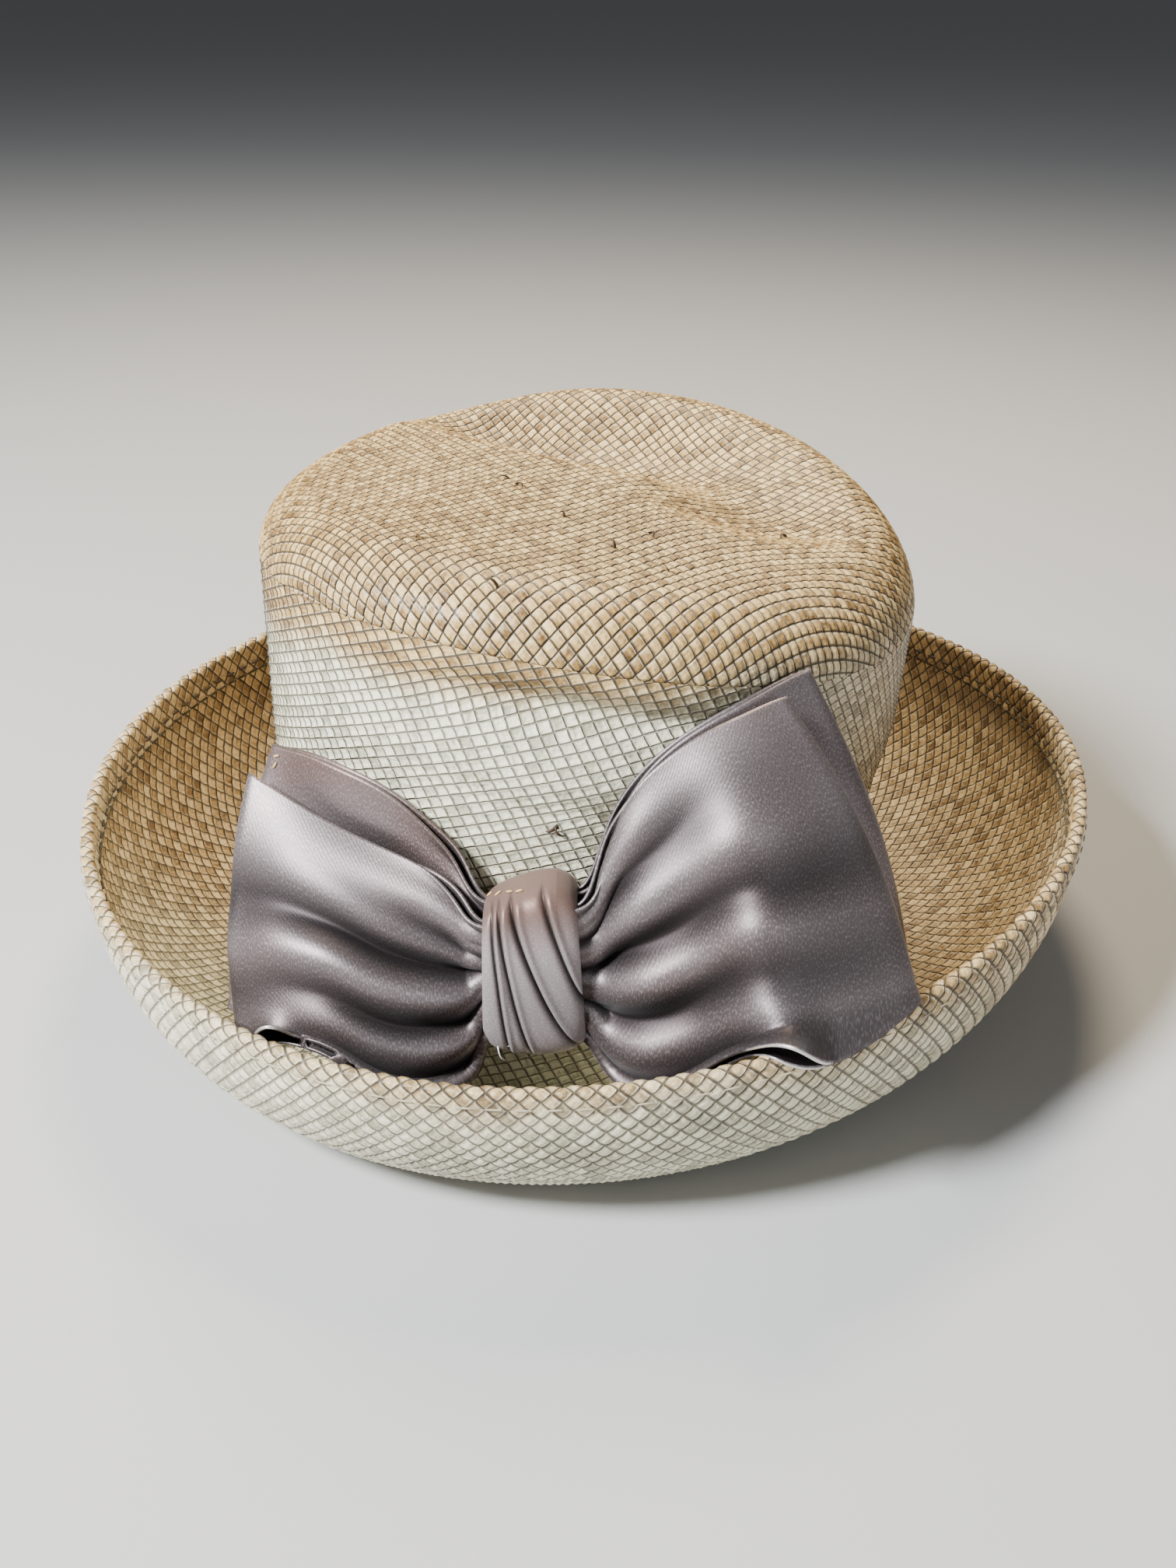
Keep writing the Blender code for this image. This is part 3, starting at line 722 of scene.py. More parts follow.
def plain_rings(skin, shares, count, wall, outward):
    """A plain skin of rings set back by a wall, with its border point numbers and turns."""
    turns = np.arange(count) / count
    rows = np.array([skin.at(turns, np.full(count, s)) for s in shares])
    normal = ring_normals(rows)
    middle = rows.reshape(-1, 3).mean(axis=0)
    if (normal * (rows - middle)).sum() < 0:
        normal = -normal
    rows = rows - normal * (wall if outward else -wall)
    faces = []
    for k in range(len(shares) - 1):
        faces += [(k * count + i, k * count + (i + 1) % count, (k + 1) * count + (i + 1) % count,
                   (k + 1) * count + i) for i in range(count)]
    return rows.reshape(-1, 3), faces, turns


def woven_band(name, skin, share_from, share_to, a, b, height, cuts, relief, wall, outward, material):
    """A closed thin ring of woven straw: woven on its face and plain behind."""
    cu, cv, faces, pu, pv, turn, down = band_lattice(a, b, height, cuts)
    border_low, border_high = down <= 1e-6, down >= 1 - 1e-6
    down = np.clip(down, 0, 1)
    base = skin.at(turn, share_from + (share_to - share_from) * down)
    woven = woven_points(base, faces, pu, pv, border_low | border_high, cuts, relief, outward)
    count = PLAIN_SEGMENTS
    shares = np.linspace(share_from, share_to, 34)
    plain, plain_faces, turns = plain_rings(skin, shares, count, wall, outward)
    last = (len(shares) - 1) * count
    borders = [(np.nonzero(side)[0], turn[side] % 1.0) for side in (border_low, border_high)]
    plain_borders = [(np.arange(count), turns), (last + np.arange(count), turns)]
    maps = cell_maps(cu, cv, cuts)
    return weave_body(name, woven, faces, maps, borders, plain, plain_faces, plain_borders, material)


def band_height(skin, share, straws, crossing):
    """A band's height in the lattice's units, from the height of one row of crossings."""
    return skin.length * share / crossing * sum(straws) / 2


def woven_top(name, skin, radius, cuts, relief, wall, material):
    """The crown's top: a square weave laid over it, closed behind by a plain side."""
    cu, cv, faces, pu, pv, angle, share = disc_lattice(radius, cuts, TOP_SQUARENESS, TOP_LEAN)
    border = share >= 1 - 1e-6
    share = np.clip(share, 0, 1)
    x, y = share * np.cos(angle), share * np.sin(angle)
    fade = (1 - share**2)**1.2
    x, y = x + fade * TOP_CENTRE_SIDE, y + fade * TOP_CENTRE_BACK
    turn = np.arctan2(y, x) / (2 * math.pi) % 1.0
    base = skin.at(turn, 1 - np.clip(np.hypot(x, y), 0, 1))
    woven = woven_points(base, faces, pu, pv, border, cuts, relief, base_faces_up(base, faces))
    count = PLAIN_SEGMENTS
    shares = np.linspace(0, 0.985, 30)
    plain, plain_faces, turns = plain_rings(skin, shares, count, wall, True)
    last = (len(shares) - 1) * count
    plain = np.concatenate([plain, plain[last:].mean(axis=0)[None]])
    plain_faces += [(last + i, last + (i + 1) % count, len(plain) - 1) for i in range(count)]
    borders, plain_borders = [(np.nonzero(border)[0], turn[border])], [(np.arange(count), turns)]
    maps = cell_maps(cu, cv, cuts)
    return weave_body(name, woven, faces, maps, borders, plain, plain_faces, plain_borders, material)


def base_faces_up(points, faces):
    """Whether faces laid over the crown's top wind so that they look up."""
    return shell_normals(points, [faces])[:, 2].sum() > 0


class Value:
    """A socket that takes part in sums."""

    def __init__(self, tree, socket):
        self.tree, self.socket = tree, socket

    def sum_with(self, operation, other, swap=False):
        a, b = (other, self) if swap else (self, other)
        return self.tree.node("ShaderNodeMath", {"operation": operation}, {0: a, 1: b})["Value"]

    def __add__(self, other):
        return self.sum_with("ADD", other)

    def __radd__(self, other):
        return self.sum_with("ADD", other, True)

    def __sub__(self, other):
        return self.sum_with("SUBTRACT", other)

    def __rsub__(self, other):
        return self.sum_with("SUBTRACT", other, True)

    def __mul__(self, other):
        return self.sum_with("MULTIPLY", other)

    def __rmul__(self, other):
        return self.sum_with("MULTIPLY", other, True)


class Outputs:
    """A node's outputs by name or number, as values."""

    def __init__(self, tree, node):
        self.tree, self.made = tree, node

    def __getitem__(self, key):
        return Value(self.tree, self.made.outputs[key])


class Finish:
    """A material's node tree."""

    def __init__(self, name):
        self.material = bpy.data.materials.new(name)
        self.material.use_nodes = True
        self.tree = self.material.node_tree
        self.shader = self.tree.nodes["Principled BSDF"]

    def node(self, kind, settings=None, inputs=None):
        made = self.tree.nodes.new(kind)
        for key, value in (settings or {}).items():
            if key == "stops":
                ramp = made.color_ramp.elements
                while len(ramp) < len(value):
                    ramp.new(0.5)
                for stop, (place, colour) in zip(ramp, value):
                    stop.position = place
                    stop.color = (*colour, 1)
            else:
                setattr(made, key, value)
        for key, value in (inputs or {}).items():
            self.feed(made.inputs[key], value)
        return Outputs(self, made)

    def feed(self, socket, value):
        if isinstance(value, Value):
            self.tree.links.new(value.socket, socket)
        elif isinstance(value, (tuple, list)) and len(value) == 3 and socket.type == "RGBA":
            socket.default_value = (*value, 1)
        else:
            socket.default_value = value

    def set(self, **values):
        for key, value in values.items():
            self.feed(self.shader.inputs[key.replace("_", " ")], value)

    def mix(self, share, a, b):
        """A colour between two, by a share."""
        out = self.node("ShaderNodeMix", {"data_type": "RGBA"}, {0: share, 6: a, 7: b})
        return out[2]

    def smooth(self, value, low, high, out_low=0.0, out_high=1.0):
        return self.node("ShaderNodeMapRange", {"interpolation_type": "SMOOTHSTEP"},
                         {"Value": value, "From Min": low, "From Max": high,
                          "To Min": out_low, "To Max": out_high})["Result"]

    def limit(self, operation, a, b):
        return self.node("ShaderNodeMath", {"operation": operation}, {0: a, 1: b})["Value"]

    def noise(self, vector, scale, detail=2.0, rough=0.5):
        return self.node("ShaderNodeTexNoise", {}, {"Vector": vector, "Scale": scale,
                                                    "Detail": detail, "Roughness": rough})["Fac"]

    def place(self, vector, scale=(1, 1, 1), move=(0, 0, 0)):
        inputs = {"Vector": vector, "Scale": scale, "Location": move}
        return self.node("ShaderNodeMapping", {}, inputs)["Vector"]

    def own_map(self, name):
        return self.node("ShaderNodeUVMap", {"uv_map": name})["UV"]

    def attribute(self, name):
        return self.node("ShaderNodeAttribute", {"attribute_name": name})["Fac"]

    def own_space(self):
        return self.node("ShaderNodeTexCoord")["Object"]

    def bump(self, height, strength, distance):
        return self.node("ShaderNodeBump", {}, {"Height": height, "Strength": strength,
                                                "Distance": distance})["Normal"]


def straw_finish(name, colours, base_tint, far_tint, far_from, far_to, painted_sheen_share):
    """Woven straw: each crossing its own tone, fine fibres along it, painted shade in the creases round
    it, painted highlights on raised edges, a painted silvery sheen at the front and tints that are partly
    painted light.
    """
    f = Finish(name)
    fibre, cell = f.own_map("fibre"), f.own_map("cell")
    tone, straw = f.attribute("tone"), f.attribute("straw")
    split = f.node("ShaderNodeSeparateXYZ", {}, {"Vector": cell})
    x, y = split["X"], split["Y"]
    # painted shade in the creases, deeper at the end and side that face away from the light
    edge = f.smooth(y, 0.0, 0.17, 0.05, 1.0) * f.smooth(1 - y, 0.0, 0.10, 0.15, 1.0)
    edge = edge * f.smooth(x, 0.0, 0.26) * f.smooth(1 - x, 0.0, 0.09, 0.15, 1.0)
    # painted highlights along the raised end and side of each straw
    lit = f.limit("MAXIMUM", f.smooth(y, 0.76, 0.88), f.smooth(x, 0.74, 0.88))
    arch = f.limit("MINIMUM", x * (1 - x) * 9, 1)
    hump = arch * f.limit("MINIMUM", y * (1 - y) * 12, 1) * 0.8 + x * 0.25
    lines = f.noise(f.place(fibre, (1.3, 13.0, 1.0)), 1.0, 3.0, 0.65)
    streaks = f.noise(f.place(fibre, (0.5, 3.0, 1.0), (3.0, 7.0, 0.0)), 1.0, 2.0, 0.5)
    crumple = f.noise(f.own_space(), 1100.0, 2.0, 0.6)
    patches = f.noise(f.own_space(), 24.0, 3.0, 0.6)
    spot = f.node("ShaderNodeSeparateXYZ", {}, {"Vector": f.own_space()})
    far = f.smooth(spot["Z"] + patches * 0.02, far_from, far_to)
    # the front of the hat, where the painted silvery sheen goes
    ahead = f.smooth(spot["Y"] * -1, *PAINTED_SHEEN_AHEAD)
    share = tone * 0.50 + straw * 0.22 + streaks * 0.90 + crumple * 0.55 - 0.66
    stops = [(0.08, colours.straw_dark), (0.40, colours.straw_mid), (0.72, colours.straw_light)]
    ramp = f.node("ShaderNodeValToRGB", {"stops": stops}, {"Fac": share})
    # tints, partly the straw's own colour and partly painted light: cool low down for the front light,
    # warm on the crown's top for the light from above
    tint = f.mix(far, base_tint, far_tint)
    colour = f.node("ShaderNodeMix", {"data_type": "RGBA", "blend_type": "MULTIPLY"},
                    {0: 1.0, 6: ramp["Color"], 7: tint})[2]
    # painted sheen: below the top, the front takes a pale silvery colour for the cool light's sheen on it
    front = ahead * (1 - far) * painted_sheen_share
    pale = f.mix(f.smooth(share, 0.15, 0.52), (0.58, 0.60, 0.44), tuple(colours.straw_painted_sheen))
    colour = f.mix(front, colour, pale)
    colour = f.mix(f.smooth(patches, 0.50, 0.72, 0.0, 0.20), colour, tuple(colours.straw_dark))
    colour = f.mix(f.smooth(lines, 0.58, 0.80, 0.0, 0.35), colour, tuple(colours.straw_dark))
    colour = f.mix(lit * 0.38, colour, tuple(colours.straw_edge_highlight))
    # painted shade in the creases, lighter where the painted sheen lies
    colour = f.mix((1 - edge) * (0.92 - front * 0.34), colour, tuple(colours.crease_shade))
    rough = 0.30 + lines * 0.20 + (1 - edge) * 0.30
    facets = f.noise(f.own_space(), 520.0, 1.0, 0.5)
    height = lines * 0.20 + crumple * 0.25 + facets * 0.75 + hump
    f.set(Base_Color=colour, Roughness=rough, Normal=f.bump(height, 1.0, 0.0007))
    f.shader.inputs["Coat Weight"].default_value = 0.15
    f.shader.inputs["Coat Roughness"].default_value = 0.28
    return f.material


def satin_finish(name, colours, brown, shadow, pale, brown_from, brown_to, metal):
    """Satin ribbon: a broad soft gloss over a very fine slanted grain, with painted glints along the
    grain, painted shade in its folds and a painted highlight at the arches' lips.
    """
    f = Finish(name)
    own = f.own_map("ribbon")
    fold = f.attribute("fold")
    grain = f.noise(f.place(own, (2600.0, 1400.0, 1.0)), 1.0, 1.0, 0.6)
    slub = f.noise(f.place(own, (60.0, 700.0, 1.0)), 1.0, 2.0, 0.5)
    twill = f.node("ShaderNodeTexWave", {"wave_type": "BANDS", "bands_direction": "DIAGONAL"},
                   {"Vector": own, "Scale": 420.0, "Distortion": 0.8, "Detail": 1.0})["Fac"]
    broad = f.noise(f.own_space(), 30.0, 2.0, 0.5)
    browner = f.smooth(broad, 0.42, 0.66, 0.0, brown)
    colour = f.mix(browner, tuple(colours.satin), tuple(colours.satin_brown))
    # painted light: pale flecks along the grain for glints, and on the knot a paler colour for the light
    # it catches
    colour = f.mix(pale + f.smooth(grain, 0.45, 0.75, 0.0, 0.55), colour, (0.55, 0.48, 0.49))
    height = f.node("ShaderNodeSeparateXYZ", {}, {"Vector": f.own_space()})["Z"]
    top = f.smooth(height + broad * 0.012, brown_from, brown_to, 0.0, 0.85)
    colour = f.mix(top, colour, tuple(colours.satin_rust))
    # painted shade in the folds
    colour = f.mix(f.smooth(fold, 0.05, 0.9, 0.0, shadow), colour, (0.012, 0.008, 0.009))
    # painted highlight along the arches' lips
    colour = f.mix(f.smooth(fold * -1, 0.3, 0.9), colour, (0.80, 0.76, 0.75))
    rough = 0.42 + grain * 0.12 + slub * 0.06
    f.set(Base_Color=colour, Roughness=rough,
          Normal=f.bump(grain * 0.7 + twill * 0.4, 0.26, 0.0001))
    f.shader.inputs["Metallic"].default_value = metal
    f.shader.inputs["Sheen Weight"].default_value = 0.08
    f.shader.inputs["Sheen Roughness"].default_value = 0.45
    return f.material


def thread_finish(name, colour):
    f = Finish(name)
    turns = f.noise(f.place(f.own_space(), (900.0, 900.0, 900.0)), 1.0, 1.0)
    f.set(Base_Color=f.mix(f.smooth(turns, 0.4, 0.7, 0.0, 0.4), colour, tuple(c * 0.6 for c in colour)),
          Roughness=0.6, Normal=f.bump(turns, 0.3, 0.0001))
    return f.material


def bow_axes():
    turn = math.radians(BOW_TURN)
    out = np.array([math.cos(turn), math.sin(turn), 0.0])
    fore = np.array([math.sin(turn), -math.cos(turn), 0.0])
    size = math.hypot(fore[0] * HEAD_HALF_WIDTH, fore[1] * HEAD_HALF_LENGTH)
    x = fore[0] * HEAD_HALF_WIDTH**2 / size
    y = HEAD_SHIFT_BACK + fore[1] * HEAD_HALF_LENGTH**2 / size
    return np.array([x, y, 0.0]), out, fore, np.array([0.0, 0.0, 1.0])


def loop_middle(rows, reach, side, ways, across, gathers):
    """Middle surface of a loop, ways by across, and the painted shade along its gathers."""
    origin, out, fore, up = bow_axes()
    v = blend_rows(rows, ways)
    for _ in range(ROW_SMOOTHING):
        v[1:-1] = (v[:-2] + 2 * v[1:-1] + v[2:]) / 4
    top = v[:, 0:1] * reach * side * out + v[:, 1:2] * BOW_TALL * up + v[:, 2:3] * BOW_FORE * fore
    low = v[:, 3:4] * reach * side * out + v[:, 4:5] * BOW_TALL * up + v[:, 5:6] * BOW_FORE * fore
    share = np.clip(across / LIP_FROM, 0, 1)[None, :, None]
    lip = np.clip((across - LIP_FROM) / (1 - LIP_FROM), 0, 1)[None, :, None]
    lip_way = 0.62 * fore - 0.78 * up
    across_way = low - top
    grid = top[:, None] * (1 - share) + low[:, None] * share
    facing = np.cross(across_way, out)
    facing /= np.linalg.norm(facing, axis=1, keepdims=True)
    facing *= np.sign(facing @ fore)[:, None]
    puff = v[:, 6:7] * BOW_FORE
    grid = grid + (puff[:, :, None] * np.sin(math.pi * share)) * facing[:, None]
    hang = v[:, 7:8, None] * BOW_FORE
    grid = grid + lip * (hang * lip_way + LIP_SHARE * across_way[:, None])
    bulge = FOLD_BULGE * reach * ways[:, None, None]**2 * np.sin(math.pi * share)
    grid = grid + bulge * side * out
    shade = np.zeros(grid.shape[:2])
    for at_knot, at_fold, depth, half, reach_along in gathers:
        line = (at_knot + (at_fold - at_knot) * ways**0.8)[:, None]
        width = (half + 0.10 * ways)[:, None]
        start = np.clip((ways - 0.03) / 0.20, 0, 1)
        fade = (start * start * (3 - 2 * start) * np.exp(-(ways / reach_along)**2))[:, None]
        hollow = fade * np.exp(-((across[None] - line) / width)**2)
        grid = grid - (depth * BOW_FORE * hollow)[:, :, None] * facing[:, None]
        # painted shade along each gather, wider and longer than its hollow
        dark = np.exp(-(ways / (1.35 * reach_along))**2)[:, None]
        dark = dark * np.exp(-np.abs((across[None] - line) / (1.25 * width))**2)
        shade = np.maximum(shade, dark * min(1.0, depth / 0.09))
    return grid + origin, shade


def curled(sheet, ways, across, curls):
    """Lift the front layer's lower edge into open arches."""
    _, _, fore, up = bow_axes()
    low = np.clip((across - CURL_FROM) / (1 - CURL_FROM), 0, 1)[None]**1.6
    for way, half, lift in curls:
        there = soft_hollow((ways - way) / (half * CURL_SPREAD))[:, None] * low
        sheet = sheet + (lift * there)[:, :, None] * (0.75 * fore + 0.85 * up)
    return sheet


def grid_normals(grid):
    n = np.cross(np.gradient(grid, axis=0), np.gradient(grid, axis=1))
    return n / np.maximum(np.linalg.norm(n, axis=2, keepdims=True), 1e-9)


def sheet_solid(name, sheet, half, material, shade):
    """A closed thin wall about a grid of points, with a ribbon map in millimetres."""
    m, k = sheet.shape[:2]
    normal = grid_normals(sheet)
    points = np.concatenate([sheet - normal * half, sheet + normal * half]).reshape(-1, 3)
    row = np.arange(m - 1)[:, None] * k + np.arange(k - 1)[None]
    a = row.ravel()
    face_a = np.stack([a, a + k, a + k + 1, a + 1], 1)
    face_a = face_a[:, ::-1]
    b = a + m * k
    face_b = np.stack([b, b + k, b + k + 1, b + 1], 1)
    border = [i * k for i in range(m)] + [(m - 1) * k + j for j in range(1, k)]
    border += [i * k + k - 1 for i in range(m - 2, -1, -1)] + [j for j in range(k - 2, 0, -1)]
    edges = [(p, q, q + m * k, p + m * k) for p, q in zip(border, border[1:] + border[:1])]
    faces = [tuple(f) for f in face_a.tolist()] + [tuple(f) for f in face_b.tolist()]
    obj = mesh_from(name, centred(points), faces + edges, material)
    face_out(obj)
    long = np.concatenate([[0], np.cumsum(np.linalg.norm(np.diff(sheet[:, k // 2], axis=0), axis=1))])
    wide = np.concatenate([[0], np.cumsum(np.linalg.norm(np.diff(sheet[m // 2], axis=0), axis=1))])
    uv = np.zeros((len(points), 2))
    uv[:m * k] = np.stack(np.meshgrid(long, wide, indexing="ij"), 2).reshape(-1, 2) * MM
    uv[m * k:] = uv[:m * k]
    write_ribbon(obj, uv, np.tile(shade.ravel(), 2))
    return obj, wide[-1] * MM, sheet_area(sheet) * MM * MM


def write_ribbon(obj, uv, fold):
    """Put the ribbon's map and its fold shades on a mesh, a row for each point."""
    mesh = obj.data
    index = np.zeros(len(mesh.loops), dtype=int)
    mesh.loops.foreach_get("vertex_index", index)
    mesh.uv_layers.new(name="ribbon").data.foreach_set("uv", uv[index].ravel())
    mesh.attributes.new("fold", "FLOAT", "POINT").data.foreach_set("value", fold.astype(np.float32))


def sheet_area(sheet):
    a = sheet[1:, :-1] - sheet[:-1, :-1]
    b = sheet[:-1, 1:] - sheet[:-1, :-1]
    return float(np.linalg.norm(np.cross(a, b), axis=2).sum())


def loop_ways(steps):
    """Ways along a loop from knot to fold and the spread of its layers, close at the fold."""
    round_off = LOOP_OPEN / REACH_RIGHT
    flat = np.linspace(0, 1 - round_off, steps)
    spread = np.interp(flat, (0, 0.10, 0.20, 0.33, 1), (0.75, 0.75, 0.85, 1, 1))
    turn = np.radians(np.linspace(0, 90, 10)[1:])
    ways = np.concatenate([flat, 1 - round_off * (1 - np.sin(turn))])
    return ways, np.concatenate([spread, np.cos(turn)])


def arch_shades(shade, ways, curls):
    """Painted fold shades of a loop's front and back layers: painted shade inside each arch and a painted
    highlight at its lip.
    """
    front, back = shade.copy(), shade.copy()
    for way, half, _ in curls:
        near = soft_hollow((ways - way) / (half * CURL_SPREAD)) > 0.05
        # painted shade inside the arch and a painted highlight at its lip
        back[near, -ARCH_DARK_ROWS:] = 1.0
        front[near, -1] = back[near, -1] = -1.0
    return np.concatenate([front, back[-2::-1]])


def make_loop(name, node, rows, reach, side, gathers, curls, material, rests_on):
    ways, spread = loop_ways(84)
    across = np.linspace(0, 1, 96)
    middle, shade = loop_middle(rows, reach, side, ways, across, gathers)
    facing = grid_normals(middle)
    facing *= np.sign(facing @ bow_axes()[2])[:, :, None]
    step = spread[:, None, None] * LOOP_OPEN / 2 * facing
    front = curled(middle + step, ways, across, curls)
    sheet = np.concatenate([front, (middle - step)[-2::-1]])
    obj, wide, area = sheet_solid(name, sheet, RIBBON_HALF, material, arch_shades(shade, ways, curls))
    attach(obj, "root")
    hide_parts(node)
    return obj


def knot_outline(count):
    """Even steps round a rounded box, as shares of its half depth and half height, and the turn."""
    turn = np.linspace(0, 2 * math.pi, 20001)
    c, s = np.cos(turn), np.sin(turn)
    d, h = np.sign(c) * np.sqrt(np.abs(c)), np.sign(s) * np.sqrt(np.abs(s))
    step = np.hypot(np.diff(d) * KNOT_HALF_DEPTH, np.diff(h) * KNOT_HALF_HEIGHT)
    way = np.concatenate([[0], np.cumsum(step)])
    at = np.arange(count) * way[-1] / count
    return np.interp(at, way, d)[None], np.interp(at, way, h)[None], np.interp(at, way, turn)[None]


def knot_grid(around=180, stations=90):
    """Outer and inner skins of the knot's band, folds slanting over its front, and the painted shade in
    those folds.
    """
    origin, out, fore, up = bow_axes()
    t = np.linspace(-1, 1, stations)[:, None]
    d, h, turn = knot_outline(around)
    c = np.cos(turn)
    front = np.clip(c, 0, 1)**0.35
    waist = 1 - 0.10 * t**2 - 0.10 * t**8
    press, shade = 0.0, 0.0
    for top, lean, bend, depth, half in KNOT_FOLDS:
        down = (1 - h) / 2
        beside = (t - top - lean * down - bend * down**2) / half
        hollow = np.exp(-np.abs(beside)**1.4) * front
        ridge = np.exp(-((beside - 2.0) / 1.6)**2) * front
        press = press + depth * (hollow - 0.45 * ridge)
        # painted shade in the knot's folds
        shade = np.maximum(shade, hollow)
    along = KNOT_HALF_WIDTH * (t * (1 - 0.06 * h) - 0.05 * h) - 1.0
    low_corner = 1 - KNOT_SKEW * np.clip((0.55 - t) / 1.55, 0, 1) * (h > 0)
    skins = []
    for inset, dent in ((0.0, press), (KNOT_WALL, 0.0)):
        deep = (KNOT_HALF_DEPTH * waist - inset) * d - dent
        tall = (KNOT_HALF_HEIGHT * waist * low_corner - inset) * h
        skins.append(origin + out * along[..., None] + fore * (KNOT_FORE + deep)[..., None]
                     + up * (KNOT_UP + tall)[..., None])
    return skins[0], skins[1], shade


def make_knot(material):
    outer, inner, shade = knot_grid()
    loop = np.concatenate([outer, inner[::-1]])
    rows, count = loop.shape[:2]
    faces = []
    for k in range(rows):
        a, b = k * count, ((k + 1) % rows) * count
        faces += [(a + i, a + (i + 1) % count, b + (i + 1) % count, b + i) for i in range(count)]
    obj = mesh_from("knot", centred(loop.reshape(-1, 3)), faces, material)
    face_out(obj)
    uv = np.zeros((rows * count, 2))
    uv[:, 0] = np.tile(np.arange(count) / count, rows) * 0.11
    uv[:, 1] = np.repeat(np.arange(rows) / rows, count) * 0.05
    write_ribbon(obj, uv, np.concatenate([shade.ravel(), 0 * shade.ravel()]))
    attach(obj, "root")
    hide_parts("bow_knot")
    return obj


def stitch_shape():
    """Points and faces of a small rounded stitch of unit size, from a sphere."""
    bpy.ops.object.select_all(action="DESELECT")
    bpy.ops.mesh.primitive_uv_sphere_add(segments=6, ring_count=4, radius=0.5, location=(0, 0, 0))
    ball = bpy.context.active_object
    points = np.array([v.co[:] for v in ball.data.vertices])
    faces = sorted(tuple(p.vertices) for p in ball.data.polygons)
    bpy.data.objects.remove(ball)
    return points, faces


def unit(rows):
    return rows / np.maximum(np.linalg.norm(rows, axis=-1, keepdims=True), 1e-9)


def sewn(name, places, ways, outs, length, thick, material):
    """Equal stitches at places in millimetres, each lying along its way."""
    shape, faces = stitch_shape()
    points, all_faces = [], []
    for place, way, out in zip(places, ways, outs):
        axes = np.array([thick * np.cross(way, out), STITCH_DEPTH * thick * out, length * way])
        turned = shape @ axes
        all_faces += [tuple(v + len(points) * len(shape) for v in face) for face in faces]
        points.append(place + turned)
    obj = mesh_from(name, np.concatenate(points), all_faces, material)
    face_out(obj)
    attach(obj, "root")
    return obj


def stitch_line(name, skin, share, inward, length, gap, thick, lift, material):
    """Stitches all the way round a skin at one share of its length."""
    turns = np.linspace(0, 1, 1441)
    ring = skin.at(turns, np.full(len(turns), share))
    way_round = np.concatenate([[0], np.cumsum(np.linalg.norm(np.diff(ring, axis=0), axis=1))])
    count = int(way_round[-1] / (length + gap))
    turn = np.interp(np.arange(count) * way_round[-1] / count, way_round, turns)
    here = skin.at(turn, np.full(count, share))
    way = unit(skin.at(turn + 0.002, np.full(count, share)) - here)
    out = unit(np.cross(way, skin.at(turn, np.full(count, share - 0.02)) - here))
    away = here * (1, 1, 0)
    out *= np.sign((out * away).sum(axis=1, keepdims=True)) * (-1 if inward else 1)
    return sewn(name, centred(here + out * lift), way, out, length, thick, material)


def seen(across, down, pieces):
    """The place in millimetres, and the way out, that a pixel of the photograph shows on pieces."""
    eye = Vector(CAMERA_PLACE)
    view = aim(CAMERA_PLACE, CAMERA_TARGET, math.radians(CAMERA_ROLL)).to_3x3()
    side = (across / PHOTO_HEIGHT - PHOTO_WIDTH / PHOTO_HEIGHT / 2) * SENSOR_HEIGHT
    rise = (0.5 - down / PHOTO_HEIGHT) * SENSOR_HEIGHT
    look = view @ Vector((side, rise, -CAMERA_LENS)).normalized()
    hits = [piece.ray_cast(eye, look) for piece in pieces]
    hits = [(place, out) for found, place, out, _ in hits if found]
    if not hits:
        raise RuntimeError(f"nothing shows at {across}, {down}")
    place, out = min(hits, key=lambda hit: (hit[0] - eye).length)
    return np.array(place) / MM, np.array(out)


def snapped(row, pieces):
    """A row's place on the pieces, with the way out and the way along there."""
    place, out = seen(row[0], row[1], pieces)
    turn = math.radians(row[2])
    side = unit(np.cross(out, (0.3, 0.9, 0.2)))
    return place, out, math.cos(turn) * side + math.sin(turn) * np.cross(out, side)


def bare_ends(name, rows, pieces, wide, material):
    """Small tapered strips that rise out of a surface and bend over."""
    points, faces, steps = [], [], 6
    for row in rows:
        place, out, way = snapped(row, pieces)
        across = np.cross(way, out)
        start = len(points)
        for k in range(steps):
            s = k / (steps - 1)
            middle = place + way * row[3] * s + out * (END_RISE * math.sin(END_BEND * s) + 0.1)
            half = wide * (1 - END_TAPER * s) / 2
            for u, v in ((-1, 0), (0, 1), (1, 0), (0, -1)):
                points.append(middle + across * half * u + out * END_HALF_THICK * v)
        for k in range(steps - 1):
            a = start + 4 * k
            faces += [(a + i, a + (i + 1) % 4, a + 4 + (i + 1) % 4, a + 4 + i) for i in range(4)]
        last = start + 4 * steps
        faces += [tuple(range(start + 3, start - 1, -1)), tuple(range(last - 4, last))]
    obj = mesh_from(name, np.array(points), faces, material)
    face_out(obj)
    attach(obj, "root")
    return obj


def face_out(obj):
    """Turn a closed body's faces outward if its volume is negative."""
    mesh = obj.data
    mesh.calc_loop_triangles()
    co = np.zeros(len(mesh.vertices) * 3)
    mesh.vertices.foreach_get("co", co)
    co = co.reshape(-1, 3)
    tri = np.zeros(len(mesh.loop_triangles) * 3, dtype=int)
    mesh.loop_triangles.foreach_get("vertices", tri)
    tri = tri.reshape(-1, 3)
    total = np.einsum("ij,ij->i", co[tri[:, 0]], np.cross(co[tri[:, 1]], co[tri[:, 2]])).sum()
    if total < 0:
        mesh.flip_normals()


def finishes():
    """The hat's materials, made once."""
    colours = bpy.context.scene.hat_colours
    made = bpy.data.materials
    if "straw_crown_woven" not in made:
        for name, *look in STRAW_LOOKS:
            straw_finish(name, colours, *look)
        for name, *look in SATIN_LOOKS:
            satin_finish(name, colours, *look)
        for name, colour in THREAD_COLOURS:
            thread_finish(name, colour)
    return made


